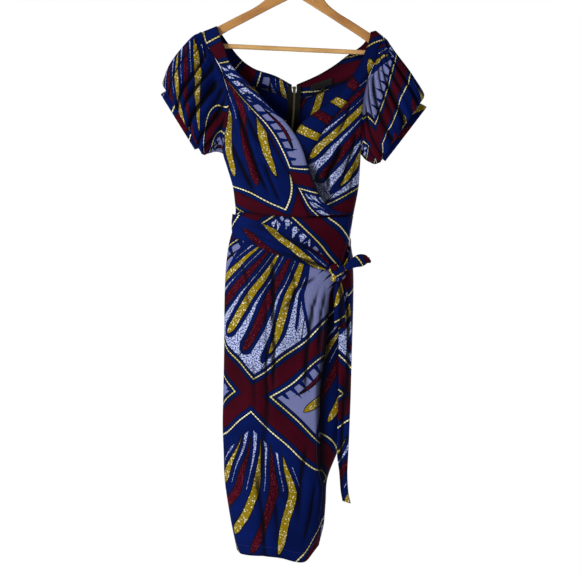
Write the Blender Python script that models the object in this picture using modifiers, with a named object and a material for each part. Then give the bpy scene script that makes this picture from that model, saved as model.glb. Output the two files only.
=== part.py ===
"""Wax print wrap dress with puff sleeves, hanging on a wooden hanger.

Metres, +Z up. The front of the dress faces -Y and +X is to the right as the front is seen.
The origin is the highest inner point of the hook, where it bears on a rail.
"""
import math
from bisect import bisect_right
from collections import namedtuple

import bmesh
import bpy
from mathutils import Vector

# ---------------------------------------------------------------- driving sizes
CLOTH_WALL = 0.0011        # one layer of wax print cotton with its turnings
BAND_WALL = 0.0017         # neck bands, cuffs and sash are sewn double
SEAM_GAP = 0.0009          # between two pieces sewn edge to edge
RIDGE_GAP = 0.0012         # half the gap between front and back bands over the hanger arm
SLEEVE_GAP = 0.0026        # the sleeve stands off the armhole seam, as it leaves it at an angle
LAP = 0.0036               # the over front lies this far outside the under front
SECTION_POWER = 2.3        # 2 is an ellipse, higher is squarer at the sides
SHOULDER_FOLD = 0.010      # height in which the band folds over the hanger arm
LAP_START_T = -0.95        # across the front, where the over front starts to lift off
LAP_REACH_T = 0.40         # and how far it takes to lie the whole lap outside
OFF_SEAM = 1e-6            # radians by which a back piece keeps off the side seam's own angle
SLOPE_ANGLE = 0.02         # the steps over which the surface's slope is read
SLOPE_HEIGHT = 0.002

# The body as level sections. left and right are the armholes above the underarm and the side
# seams below it. front and back are the depths at the middle, armhole the depth at the sides,
# and roundness runs from 0.43 (a closed tube) to 1 (a shallow curve between two armholes).
BodyRow = namedtuple("BodyRow", "z left right front back armhole roundness")
BODY = [BodyRow(*row) for row in (
    (-0.170, -0.2018, 0.1822, 0.020, 0.020, 0.0095, 1.00),
    (-0.200, -0.1958, 0.1782, 0.023, 0.022, 0.0100, 1.00),
    (-0.220, -0.1858, 0.1672, 0.026, 0.024, 0.0110, 1.00),
    (-0.240, -0.1728, 0.1642, 0.029, 0.026, 0.0130, 1.00),
    (-0.258, -0.1618, 0.1562, 0.032, 0.029, 0.0150, 1.00),
    (-0.279, -0.1548, 0.1472, 0.035, 0.031, 0.0180, 1.00),
    (-0.312, -0.1448, 0.1382, 0.040, 0.035, 0.0250, 1.00),
    (-0.340, -0.1428, 0.1342, 0.044, 0.038, 0.0290, 1.00),
    (-0.370, -0.1448, 0.1322, 0.047, 0.040, 0.0290, 0.95),
    (-0.400, -0.1508, 0.1312, 0.049, 0.042, 0.0240, 0.80),
    (-0.424, -0.1548, 0.1302, 0.050, 0.043, 0.0140, 0.60),
    (-0.441, -0.1558, 0.1302, 0.050, 0.044, 0.0000, 0.45),
    (-0.464, -0.1488, 0.1292, 0.050, 0.044, 0.0000, 0.43),
    (-0.508, -0.1358, 0.1262, 0.046, 0.041, 0.0000, 0.43),
    (-0.537, -0.1318, 0.1212, 0.042, 0.039, 0.0000, 0.43),
    (-0.562, -0.1298, 0.1162, 0.040, 0.038, 0.0000, 0.43),
    (-0.593, -0.1348, 0.1112, 0.042, 0.041, 0.0000, 0.43),
    (-0.628, -0.1438, 0.1072, 0.045, 0.045, 0.0000, 0.43),
    (-0.674, -0.1498, 0.1142, 0.049, 0.048, 0.0000, 0.43),
    (-0.738, -0.1528, 0.1152, 0.052, 0.051, 0.0000, 0.43),
    (-0.849, -0.1538, 0.1122, 0.053, 0.053, 0.0000, 0.43),
    (-0.953, -0.1558, 0.1082, 0.052, 0.053, 0.0000, 0.43),
    (-1.005, -0.1568, 0.1002, 0.051, 0.052, 0.0000, 0.43),
    (-1.059, -0.1548, 0.0822, 0.049, 0.050, 0.0000, 0.43),
    (-1.115, -0.1528, 0.0612, 0.046, 0.048, 0.0000, 0.43),
    (-1.167, -0.1458, 0.0572, 0.044, 0.046, 0.0000, 0.43),
    (-1.213, -0.1378, 0.0532, 0.042, 0.044, 0.0000, 0.43),
    (-1.246, -0.1308, 0.0452, 0.040, 0.042, 0.0000, 0.43),
    (-1.290, -0.1218, 0.0382, 0.038, 0.040, 0.0000, 0.43),
)]

# The line over the hanger arms on which the neck bands and the sleeves fold, left to right.
RIDGE_X = (-0.2128, -0.2018, -0.1858, -0.1688, -0.1558, 0.1442, 0.1512, 0.1612, 0.1762, 0.1822, 0.1932)
RIDGE_Z = (-0.1945, -0.1888, -0.1822, -0.1753, -0.170, -0.184, -0.1886, -0.1862, -0.1965, -0.2035, -0.218)

UNDERARM_Z = -0.441
ARMHOLE_TOP_Z = {"left": -0.279, "right": -0.266}        # where the front armhole meets the band
BACK_ARMHOLE_TOP_Z = {"left": -0.262, "right": -0.262}
ARMHOLE_ROWS = 7
SIDE_ROWS = 5
FRONT_STEPS = 7
BACK_STEPS = 7
BAND_STEPS = 3
SHOULDER_SECTION_Z = {"left": -0.188, "right": -0.2035}  # where each band's outer seam meets the arm
SHOULDER_SHARES = (0.0, 0.018, 0.06, 0.14, 0.32, 0.62, 1.0)   # closer over the arm
SHOULDER_ROWS = len(SHOULDER_SHARES) - 1
RIDGE_REACH = 0.035        # the ridge's own shape has faded out this far down a band

# Front neckline, as (x, z) down to the waist seam: the free inner edge of each band and the
# seam that joins the band to the front.
LEFT_INNER = ((-0.1688, -0.1753), (-0.1558, -0.211), (-0.1378, -0.257), (-0.0998, -0.297),
              (-0.0558, -0.346), (-0.0188, -0.385), (0.0062, -0.426), (0.0262, -0.490),
              (0.0462, -0.532), (0.0722, -0.557), (0.1060, -0.566))
LEFT_SEAM = ((-0.1548, -0.279), (-0.1228, -0.319), (-0.0978, -0.349), (-0.0628, -0.401),
             (-0.0378, -0.448), (-0.0148, -0.487), (0.0022, -0.523), (0.0232, -0.5715))
RIGHT_INNER = ((0.1512, -0.1886), (0.1462, -0.210), (0.1332, -0.243), (0.1142, -0.277),
               (0.0802, -0.323), (0.0462, -0.348), (0.0062, -0.381), (-0.0178, -0.432),
               (-0.0338, -0.485), (-0.0458, -0.535), (-0.0538, -0.571))
RIGHT_SEAM = ((0.1522, -0.266), (0.1412, -0.281), (0.1212, -0.308), (0.1022, -0.334),
              (0.0802, -0.360), (0.0572, -0.388), (0.0412, -0.413), (0.0242, -0.445),
              (0.0102, -0.485), (-0.0018, -0.535), (-0.0108, -0.573))
# Back neckline, as (x, z) towards the centre back.
BACK_LEFT_INNER = ((-0.1688, -0.1753), (-0.1468, -0.208), (-0.1168, -0.244), (-0.0908, -0.262),
                   (-0.0468, -0.277), (-0.0138, -0.295))
BACK_LEFT_SEAM = ((-0.1603, -0.262), (-0.1208, -0.288), (-0.0858, -0.301), (-0.0408, -0.315),
                  (-0.0138, -0.331))
BACK_RIGHT_INNER = ((0.1512, -0.1886), (0.1342, -0.213), (0.1012, -0.236), (0.0772, -0.254),
                    (0.0422, -0.275), (-0.0028, -0.295))
BACK_RIGHT_SEAM = ((0.1542, -0.262), (0.1242, -0.277), (0.0892, -0.294), (0.0492, -0.311),
                   (-0.0028, -0.331))

# Puff sleeves as rings from the armhole to the cuff: the highest and lowest point of each ring,
# its half depth, how far it has left the armhole's own shape, and the height of its gathers.
SleeveRing = namedtuple("SleeveRing", "top_x top_z low_x low_z half_depth rounded gather")
SLEEVE = {
    "left": [SleeveRing(*row) for row in (
        (-0.2128, -0.193, -0.1618, -0.436, 0.024, 0.55, 0.0015),
        (-0.2338, -0.211, -0.1728, -0.435, 0.036, 0.85, 0.0030),
        (-0.2640, -0.250, -0.1882, -0.4385, 0.0455, 1.00, 0.0038),
        (-0.2798, -0.290, -0.1968, -0.441, 0.047, 1.00, 0.0045),
        (-0.2783, -0.301, -0.2008, -0.436, 0.044, 1.00, 0.0030),
    )],
    "right": [SleeveRing(*row) for row in (
        (0.1932, -0.217, 0.1362, -0.447, 0.024, 0.55, 0.0015),
        (0.2082, -0.239, 0.1442, -0.456, 0.036, 0.85, 0.0030),
        (0.2360, -0.2745, 0.1577, -0.4602, 0.0455, 1.00, 0.0038),
        (0.2602, -0.314, 0.1702, -0.457, 0.047, 1.00, 0.0045),
        (0.2587, -0.327, 0.1705, -0.455, 0.044, 1.00, 0.0030),
    )],
}
SLEEVE_GATHERS = 9
GATHER_SWAY = 0.9          # how unevenly the gathers are spaced round the sleeve
GATHER_SINK = 0.6          # share of a gather's height that lies below the sleeve's own ring
SLEEVE_POWER = 2.2
# Cuffs: the same columns at the gathered seam and at the open edge.
CuffRing = namedtuple("CuffRing", "top_x top_z low_x low_z half_depth")
CUFF = {
    "left": (CuffRing(-0.2658, -0.308, -0.1948, -0.421, 0.034),
             CuffRing(-0.2850, -0.318, -0.2151, -0.431, 0.033)),
    "right": (CuffRing(0.2472, -0.335, 0.1682, -0.440, 0.034),
              CuffRing(0.2673, -0.3442, 0.1820, -0.4555, 0.033)),
}
SLEEVE_OVER_CUFF = 0.0014  # clear height between the cuff and the sleeve that is sewn over it
SLEEVE_ON_CUFF = 0.002     # how far the sleeve runs on over the cuff

# Skirt: the waist seam, the hem, the free edge of the over panel and where the under panel ends.
WAIST_Z = -0.560
WAIST_DROP = 0.010         # lower on the right, because the hanger leans
WAIST_SAG = 0.008          # the front hangs lower in the middle
HEM_T = (-1.0, -0.9, -0.3, 0.1, 0.4, 0.6, 0.72, 0.85, 1.0)
HEM_Z = (-1.262, -1.271, -1.275, -1.279, -1.286, -1.288, -1.284, -1.266, -1.240)
BACK_HEM_Z = (-1.262, -1.252)
BACK_HEM_SAG = 0.007
UNDER_HEM_Z = -1.246
FREE_EDGE_Z = (-0.566, -0.628, -0.666, -0.703, -0.735, -0.801, -0.849, -0.911, -0.942, -1.015,
               -1.075, -1.110, -1.150, -1.290)
FREE_EDGE_X = (0.1082, 0.1012, 0.0922, 0.0772, 0.0642, 0.0592, 0.0542, 0.0452, 0.0432, 0.0437,
               0.0432, 0.0472, 0.0502, 0.0332)
UNDER_LAP = 0.075          # the under panel runs on beneath the over panel
SKIRT_ROWS = 16
OVER_STEPS = 11
UNDER_STEPS = 6
BACK_PANEL_STEPS = 9
# Long soft folds of the skirt, as t across the body (-1 left, 1 right), half width in t and depth.
Fold = namedtuple("Fold", "t half_width depth")
FRONT_FOLDS = [Fold(-0.31, 0.17, 0.004)]
BACK_FOLDS = [Fold(-0.68, 0.16, 0.011), Fold(-0.37, 0.15, 0.008), Fold(0.33, 0.16, 0.010),
              Fold(0.68, 0.16, 0.011)]
FOLD_TOP_Z = -0.575
FOLD_FULL_Z = -0.760

# Centre back zip.
CENTRE_BACK_T = -0.03
CENTRE_ANGLE = 2 * math.pi - math.acos(-CENTRE_BACK_T)
ZIP_TOP_Z = -0.2975
ZIP_END_Z = -0.762
ZIP_OPENING = 0.0050       # from the centre back to each panel's edge
ZIP_CLOSING = 0.040        # length in which the two panels meet below the zip
CHAIN_HALF_WIDTH = 0.0021
CHAIN_THICKNESS = 0.0022
TAPE_INNER = 0.0026
TAPE_OUTER = 0.0140
TAPE_THICKNESS = 0.0009
TAPE_CLEAR = 0.0010        # between a tape and the back that it is sewn to
CHAIN_OUT = -0.0008        # the chain's middle, from the back's own surface
SLIDER_WIDTH = 0.0084
SLIDER_HEIGHT = 0.0100
SLIDER_DEPTH = 0.0046
SLIDER_TOP_Z = -0.2985
SLIDER_LOW_Z = SLIDER_TOP_Z - SLIDER_HEIGHT
SLIDER_ROUND = 0.0012
BESIDE_SLIDER = 0.0006     # between the slider's side and each tape
BELOW_SLIDER = 0.0004      # between the slider's end and the chain
TAPES_CLOSE_Z = SLIDER_LOW_Z - 0.009
ZIP_STEPS = 16
ZIP_ROWS = [SLIDER_LOW_Z - BELOW_SLIDER]
ZIP_ROWS += [TAPES_CLOSE_Z + (ZIP_END_Z - TAPES_CLOSE_Z) * i / ZIP_STEPS for i in range(ZIP_STEPS + 1)]
CROWN_WIDTH = 0.0014
CROWN_HEIGHT = 0.0064
CROWN_OPENING = 0.0027     # clear height under the crown
CROWN_BAR = 0.0010
CROWN_WINDOW = 0.0040      # wider than the crown, so that the window goes through it
CROWN_ROOT = 0.0005        # how far the crown's feet go into the slider
PULL_BAR = 0.0012
PULL_WIDTH = 0.0062
PULL_LENGTH = 0.0240
PULL_EYE = 0.0030
PULL_EYE_LENGTH = 0.0042
PULL_OVER_HINGE = 0.0001   # the bar lies this far outside the middle of the crown's opening
# The pull's side below its bar, as shares of its half width and of its length.
PULL_SIDE = ((1.00, 0.55), (0.75, 0.93), (0.35, 1.00))
PULL_LEAN = math.radians(4)   # it rests along the chain, which slopes outwards going down

# Neck label and the small tab under it, on the inside of the right back band: the upper edge
# from left to right, and the height.
LABEL_TOP = ((0.0275, -0.2954), (0.0725, -0.2808))
LABEL_HEIGHT = 0.0135
LABEL_THICKNESS = 0.0007
LABEL_CLEAR = 0.0005
LABEL_ROWS = 2
LABEL_STEPS = 4
TAB_TOP = ((0.0480, -0.3025), (0.0572, -0.2995))
TAB_HEIGHT = 0.0070

# Tie sash.
SashRow = namedtuple("SashRow", "x upper lower out")
SASH = [SashRow(*row) for row in (
    (-0.1323, -0.5660, -0.6160, 0.0042),
    (-0.1158, -0.5700, -0.6210, 0.0048),
    (-0.0708, -0.5880, -0.6400, 0.0066),
    (-0.0288, -0.6080, -0.6560, 0.0068),
    (0.0042, -0.6250, -0.6680, 0.0070),
    (0.0372, -0.6440, -0.6790, 0.0078),
    (0.0616, -0.6630, -0.6840, 0.0110),
)]
SASH_STEPS = 13
KNOT_CENTRE_X = 0.0807
KNOT_CENTRE_Z = -0.6880
KNOT_SIZE = Vector((0.032, 0.022, 0.041))
KNOT_ROUND = 0.007
KNOT_OUT = 0.0205
# The bow's one loop: right and up from the knot, its width, and half the gap between its layers.
LoopRow = namedtuple("LoopRow", "right up width half_gap")
LOOP = [LoopRow(*row) for row in (
    (0.000, 0.0000, 0.0110, 0.0026),
    (0.015, 0.0105, 0.0190, 0.0048),
    (0.029, 0.0165, 0.0260, 0.0060),
    (0.040, 0.0180, 0.0210, 0.0050),
    (0.046, 0.0175, 0.0120, 0.0040),
)]
LOOP_ACROSS = Vector((-0.25, 0.0, 0.97)).normalized()
LOOP_CLEAR = 0.0020        # from the knot's side
LOOP_ABOVE = 0.0085        # over the knot's middle
LOOP_STEPS = 6
LOOP_TURN_STEPS = 5
TailRow = namedtuple("TailRow", "z x width forward")
SHORT_TAIL = [TailRow(*row) for row in (
    (-0.7092, 0.0822, 0.0130, 0.0010),
    (-0.7350, 0.0842, 0.0215, -0.0010),
    (-0.7700, 0.0857, 0.0235, -0.0045),
    (-0.8010, 0.0867, 0.0225, -0.0065),
)]
LONG_TAIL = [TailRow(*row) for row in (
    (-0.7092, 0.0857, 0.0120, -0.0035),
    (-0.7400, 0.0932, 0.0230, -0.0085),
    (-0.8100, 0.0972, 0.0260, -0.0140),
    (-0.9200, 0.0967, 0.0255, -0.0165),
    (-1.0100, 0.0942, 0.0245, -0.0165),
    (-1.0610, 0.0922, 0.0235, -0.0150),
    (-1.1020, 0.0937, 0.0165, -0.0110),
    (-1.1400, 0.0962, 0.0160, -0.0120),
    (-1.1630, 0.1007, 0.0175, -0.0135),
)]
SHORT_TAIL_STEPS = 6
LONG_TAIL_STEPS = 18
# The short end from the right side seam to the back of the knot: at its start and at its last.
SideEnd = namedtuple("SideEnd", "angle upper lower out")
SIDE_END_START = SideEnd(math.pi - 0.05, -0.616, -0.652, 0.0034)
SIDE_END_LAST_X = 0.0885
SIDE_END_LAST_Z = -0.676
SIDE_END_DROP = (0.056, 0.034)       # of its upper and lower edge
SIDE_END_RISE = 0.0125               # off the body, growing with the square of the way
SIDE_END_STEPS = 6

# Hanger, in its own upright frame: origin at the middle of the hook's circle.
HOOK_INNER_RADIUS = 0.019
HOOK_WIRE_RADIUS = 0.00175
HANGER_TILT = math.radians(2.65)
ARM_THICKNESS = 0.012
ARM_BEVEL = 0.003
BAR_RADIUS = 0.005
BAR_Z = -0.2043
BAR_HALF_LENGTH = 0.1905
BAR_HOLE_CLEARANCE = 0.0004
NECK_TOP_Z = -0.0655
STEM_END_Z = -0.082
STEM_CLEARANCE = 0.0004
STEM_HOLE_OVER = 0.010     # the stem's hole is cut from this far above the neck
STEM_BENDS_Z = (-0.050, -0.036)      # between these the straight stem bends into the hook
HOOK_STEPS = 44
HOOK_TURN = range(-58, 206, 12)      # degrees round the hook's circle
ROD_SIDES = 16
STEM_HOLE_SIDES = 12
ARM_OUTLINE = ((0.0120, -0.0655), (0.0180, -0.0700), (0.0340, -0.0781), (0.0480, -0.0870),
               (0.0585, -0.0974), (0.0645, -0.1049), (0.0725, -0.1124), (0.0820, -0.1195),
               (0.0935, -0.1270), (0.1150, -0.1388), (0.1570, -0.1632), (0.1760, -0.1750),
               (0.1900, -0.1875), (0.1970, -0.2030), (0.1955, -0.2125), (0.1885, -0.2160),
               (0.1790, -0.2075), (0.1520, -0.1821), (0.0937, -0.1469), (0.0520, -0.1226),
               (0.0200, -0.1046), (0.0095, -0.0990), (0.0000, -0.0972))

COLOURS = {
    "wax_print": ((0.010, 0.022, 0.120), 0.75, 0.0),
    "wood": ((0.600, 0.330, 0.110), 0.45, 0.0),
    "bar_wood": ((0.720, 0.460, 0.190), 0.45, 0.0),
    "steel": ((0.600, 0.600, 0.610), 0.25, 1.0),
    "tape": ((0.008, 0.008, 0.008), 0.90, 0.0),
    "zip_metal": ((0.520, 0.430, 0.210), 0.35, 1.0),
    "label": ((0.006, 0.007, 0.006), 0.85, 0.0),
}

# ---------------------------------------------------------------- the scene is emptied
for old in list(bpy.data.objects):
    bpy.data.objects.remove(old, do_unlink=True)

DRESS = bpy.data.collections.new("wax_print_wrap_dress")
CUTTERS = bpy.data.collections.new("cutters")
bpy.context.scene.collection.children.link(DRESS)
bpy.context.scene.collection.children.link(CUTTERS)


def material(name):
    """The named finish, made once."""
    if name in bpy.data.materials:
        return bpy.data.materials[name]
    colour, roughness, metallic = COLOURS[name]
    made = bpy.data.materials.new(name)
    made.use_nodes = True
    shader = made.node_tree.nodes["Principled BSDF"]
    shader.inputs["Base Color"].default_value = (*colour, 1.0)
    shader.inputs["Roughness"].default_value = roughness
    shader.inputs["Metallic"].default_value = metallic
    return made


def add_mesh(name, mesh, finish, collection=DRESS):
    """A new object for a mesh, in the dress or among the cutters."""
    mesh.materials.append(material(finish))
    piece = bpy.data.objects.new(name, mesh)
    collection.objects.link(piece)
    if collection is CUTTERS:
        piece.hide_render = True
        piece.display_type = "WIRE"
    return piece


# ---------------------------------------------------------------- smooth curves through tables
def smooth(keys, values, key):
    """Read at key the smooth curve through (keys, values); keys rise."""
    last = len(keys) - 1
    key = min(max(key, keys[0]), keys[last])
    i = min(bisect_right(keys, key) - 1, last - 1)
    slopes = []
    for j in (i, i + 1):
        before, after = max(j - 1, 0), min(j + 1, last)
        slopes.append((values[after] - values[before]) / (keys[after] - keys[before]))
    span = keys[i + 1] - keys[i]
    u = (key - keys[i]) / span
    start = values[i] * (1 + 2 * u) * (1 - u) ** 2 + slopes[0] * span * u * (1 - u) ** 2
    end = values[i + 1] * u * u * (3 - 2 * u) - slopes[1] * span * u * u * (1 - u)
    return start + end


def straight(keys, values, key):
    """Read at key the straight-sided curve through (keys, values); keys rise."""
    key = min(max(key, keys[0]), keys[-1])
    i = min(bisect_right(keys, key) - 1, len(keys) - 2)
    u = (key - keys[i]) / (keys[i + 1] - keys[i])
    return values[i] + (values[i + 1] - values[i]) * u


def lengths(points):
    """Distance along a row of points, from the first to each."""
    total = [0.0]
    for first, second in zip(points, points[1:]):
        total.append(total[-1] + math.dist(first, second))
    return total


def along(points, fraction):
    """The point at a fraction of the length of a smooth curve through points."""
    keys = lengths(points)
    key = fraction * keys[-1]
    return tuple(smooth(keys, [point[i] for point in points], key) for i in range(len(points[0])))


def ease(u):
    """0 to 1 with level ends."""
    u = min(max(u, 0.0), 1.0)
    return u * u * (3 - 2 * u)


# ---------------------------------------------------------------- the body's surface
BODY_DEPTHS = [-row.z for row in BODY]
BODY_COLUMNS = {name: [getattr(row, name) for row in BODY] for name in BodyRow._fields}


def body(z):
    """The body's section at a height."""
    return BodyRow(*(smooth(BODY_DEPTHS, BODY_COLUMNS[name], -z) for name in BodyRow._fields))


def fold_depth(folds, t, z):
    """How far the skirt's long folds push the cloth inwards."""
    reach = ease((FOLD_TOP_Z - z) / (FOLD_TOP_Z - FOLD_FULL_Z))
    total = 0.0
    for fold in folds:
        u = abs(t - fold.t) / fold.half_width
        if u < 1:
            total += fold.depth * (0.5 + 0.5 * math.cos(math.pi * u))
    return total * reach


def raw_point(angle, z):
    """On the body at an angle: 0 left seam, pi right seam, the front between, the back beyond."""
    row = body(z)
    t = -math.cos(angle)
    front = math.sin(angle) >= 0
    middle = row.front if front else row.back
    bulge = max(1 - abs(t) ** SECTION_POWER, 0.0) ** row.roundness
    depth = row.armhole + (middle - row.armhole) * bulge
    depth -= fold_depth(FRONT_FOLDS if front else BACK_FOLDS, t, z) * min(bulge, 1.0)
    x = (row.left + row.right) / 2 + (row.right - row.left) / 2 * t
    below_ridge = min(max(straight(RIDGE_X, RIDGE_Z, x) - z, 0.0) / SHOULDER_FOLD, 1.0)
    depth *= (1 - (1 - below_ridge) ** 3) ** (1 / 3)
    return Vector((x, -depth if front else depth, z))


def body_point(angle, z, out=0.0):
    """A point on the body, moved outwards along the surface's normal."""
    point = raw_point(angle, z)
    if out == 0.0:
        return point
    half_turn = math.pi if math.sin(angle) >= 0 else 2 * math.pi
    middle = min(max(angle, half_turn - math.pi + SLOPE_ANGLE), half_turn - SLOPE_ANGLE)
    across = raw_point(middle + SLOPE_ANGLE / 2, z) - raw_point(middle - SLOPE_ANGLE / 2, z)
    upward = raw_point(middle, z + SLOPE_HEIGHT) - raw_point(middle, z - SLOPE_HEIGHT)
    normal = across.cross(upward).normalized()
    return point + normal * out


def angle_at(x, z, back=False):
    """The angle at which the body passes x at a height."""
    row = body(z)
    t = (x - (row.left + row.right) / 2) / ((row.right - row.left) / 2)
    angle = math.acos(min(max(-t, -1.0), 1.0))
    return 2 * math.pi - angle if back else angle


def waist_z(angle):
    """Height of the waist seam."""
    t = -math.cos(angle)
    sag = WAIST_SAG * (1 - t * t) if math.sin(angle) > 0 else 0.0
    return WAIST_Z - WAIST_DROP * (t + 1) / 2 - sag


def over_lift(angle):
    """How far the over front lies outside: nothing at its side seam, then the whole lap."""
    t = -math.cos(angle)
    return LAP * ease((t - LAP_START_T) / LAP_REACH_T)


# ---------------------------------------------------------------- making pieces from grids
def inset(grid, edges, gap=SEAM_GAP / 2):
    """Draw the named edges of a grid of points back from their seams."""
    moved = [list(row) for row in grid]
    if "top" in edges:
        moved[0] = [p + (q - p).normalized() * gap for p, q in zip(grid[0], grid[1])]
    if "bottom" in edges:
        moved[-1] = [p + (q - p).normalized() * gap for p, q in zip(grid[-1], grid[-2])]
    for row in moved:
        if "left" in edges:
            row[0] = row[0] + (row[1] - row[0]).normalized() * gap
        if "right" in edges:
            row[-1] = row[-1] + (row[-2] - row[-1]).normalized() * gap
    return moved


def cloth(name, grid, wall=CLOTH_WALL, finish="wax_print", tube=False):
    """A cloth piece: an open surface through a grid of points, given its wall."""
    bm = bmesh.new()
    rows = [[bm.verts.new(point) for point in row] for row in grid]
    for upper, lower in zip(rows, rows[1:]):
        columns = len(upper) if tube else len(upper) - 1
        for i in range(columns):
            j = (i + 1) % len(upper)
            bm.faces.new((upper[i], lower[i], lower[j], upper[j]))
    bmesh.ops.recalc_face_normals(bm, faces=bm.faces)
    mesh = bpy.data.meshes.new(name)
    bm.to_mesh(mesh)
    bm.free()
    mesh.shade_smooth()
    piece = add_mesh(name, mesh, finish)
    solidify = piece.modifiers.new("wall", "SOLIDIFY")
    solidify.thickness = wall
    solidify.offset = 0.0
    return piece


def box(name, centre, size, finish, bevel=0.0, collection=DRESS):
    """A box with rounded edges."""
    bm = bmesh.new()
    bmesh.ops.create_cube(bm, size=1.0)
    bmesh.ops.scale(bm, verts=bm.verts, vec=size)
    bmesh.ops.translate(bm, verts=bm.verts, vec=centre)
    mesh = bpy.data.meshes.new(name)
    bm.to_mesh(mesh)
    bm.free()
    piece = add_mesh(name, mesh, finish, collection)
    if bevel:
        rounded = piece.modifiers.new("rounded", "BEVEL")
        rounded.width = bevel
        rounded.segments = 3
        rounded.limit_method = "NONE"
    return piece


def cut(piece, cutter, operation="DIFFERENCE"):
    """Boolean of a cutter on a piece."""
    boolean = piece.modifiers.new(operation.lower(), "BOOLEAN")
    boolean.operation = operation
    boolean.solver = "EXACT"
    boolean.object = cutter


# ---------------------------------------------------------------- seams that pieces share
def shoulder_places(side, lowest_z):
    """(angle, z) down the band's outer seam, from the ridge to where the armhole leaves it."""
    section = body(SHOULDER_SECTION_Z[side])
    ridge = straight(RIDGE_X, RIDGE_Z, section.left if side == "left" else section.right)
    angle = 0.0 if side == "left" else math.pi
    return [(angle, ridge + (lowest_z - ridge) * share) for share in SHOULDER_SHARES]


def side_heights(side, top_z):
    """Heights of the rows at a side: down the armhole, then down the side seam to the waist."""
    waist = waist_z(0.0 if side == "left" else math.pi)
    rows = [top_z + (UNDERARM_Z - top_z) * i / ARMHOLE_ROWS for i in range(ARMHOLE_ROWS + 1)]
    rows += [UNDERARM_Z + (waist - UNDERARM_Z) * i / SIDE_ROWS for i in range(1, SIDE_ROWS + 1)]
    return rows


def front_rows(side, seam):
    """For each row of a front: its share of the way down and its place on the band's seam."""
    top_z = ARMHOLE_TOP_Z[side]
    heights = side_heights(side, top_z)
    shares = [(z - top_z) / (heights[-1] - top_z) for z in heights]
    places = []
    for share in shares:
        low, high = 0.0, 1.0
        for _ in range(30):
            middle = (low + high) / 2
            x, z = along(seam, middle)
            reached = (z - top_z) / (waist_z(angle_at(x, z)) - top_z)
            low, high = (middle, high) if reached < share else (low, middle)
        x, z = along(seam, (low + high) / 2)
        places.append((angle_at(x, z), z))
    return top_z, shares, places


def back_columns(side, seam):
    """(angle, z) of the back's columns along the band's seam, from the armhole to the zip."""
    start_z = BACK_ARMHOLE_TOP_Z[side]
    side_angle = 2 * math.pi if side == "left" else math.pi
    keys = [abs(x - seam[0][0]) for x, _ in seam]
    places = []
    for i in range(BACK_STEPS + 1):
        angle = side_angle + (CENTRE_ANGLE - side_angle) * i / BACK_STEPS
        z = start_z
        for _ in range(12):
            x = raw_point(angle, z).x
            z = smooth(keys, [point[1] for point in seam], abs(x - seam[0][0]))
        places.append((angle, start_z if i == 0 else z))
    return places


def at_centre_back(point, side, half_gap):
    """Move a centre back point to its side of the zip."""
    centre = raw_point(CENTRE_ANGLE, point.z).x
    point.x = centre - half_gap if side == "left" else centre + half_gap
    return point


# ---------------------------------------------------------------- bodice fronts and front bands
def band_grid(outer_points, inner, back, lift):
    """Rows across a neck band, from its seam to its free edge, the first along the ridge."""
    reach = lengths([(p.x, p.z) for p in outer_points])
    grid = []
    for point, distance in zip(outer_points, reach):
        inner_x, inner_z = along(inner, distance / reach[-1])
        near_ridge = 1 - ease(distance / RIDGE_REACH)
        row = [point.copy()]
        for i in range(1, BAND_STEPS + 1):
            u = i / BAND_STEPS
            x = point.x + (inner_x - point.x) * u
            z = point.z + (inner_z - point.z) * u
            level = outer_points[0].z + (inner[0][1] - outer_points[0].z) * u
            across = outer_points[0].x + (inner[0][0] - outer_points[0].x) * u
            z += (straight(RIDGE_X, RIDGE_Z, across) - level) * near_ridge
            angle = angle_at(x, z, back)
            row.append(body_point(angle, z, lift(angle)))
        grid.append(row)
    return grid


def make_front(side, seam, inner, lift):
    """One bodice front and the neck band on its edge. Returns the sleeve's seam points."""
    top_z, shares, places = front_rows(side, seam)
    side_angle = 0.0 if side == "left" else math.pi
    grid = []
    for share, (seam_angle, _) in list(zip(shares, places))[1:]:
        row = []
        for i in range(FRONT_STEPS + 1):
            angle = side_angle + (seam_angle - side_angle) * i / FRONT_STEPS
            z = top_z + (waist_z(angle) - top_z) * share
            row.append(body_point(angle, z, lift(angle)))
        grid.append(row)
    cloth(f"bodice_front_{side}", inset(grid, ("left", "right", "bottom")))

    shoulder = shoulder_places(side, top_z)
    outer = shoulder[:-1] + places
    outer_points = [body_point(angle, z, lift(angle)) for angle, z in outer]
    band = band_grid(outer_points, inner, False, lift)
    band = inset(inset(band, ("left", "bottom")), ("top",), RIDGE_GAP)
    cloth(f"neck_band_{side}_front", band, BAND_WALL)
    armhole = [raw_point(side_angle, z) for z in side_heights(side, top_z)[:ARMHOLE_ROWS + 1]]
    return outer_points[:SHOULDER_ROWS] + armhole


LEFT_FRONT_RING = make_front("left", LEFT_SEAM, LEFT_INNER, over_lift)
RIGHT_FRONT_RING = make_front("right", RIGHT_SEAM, RIGHT_INNER, lambda angle: 0.0)


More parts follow.
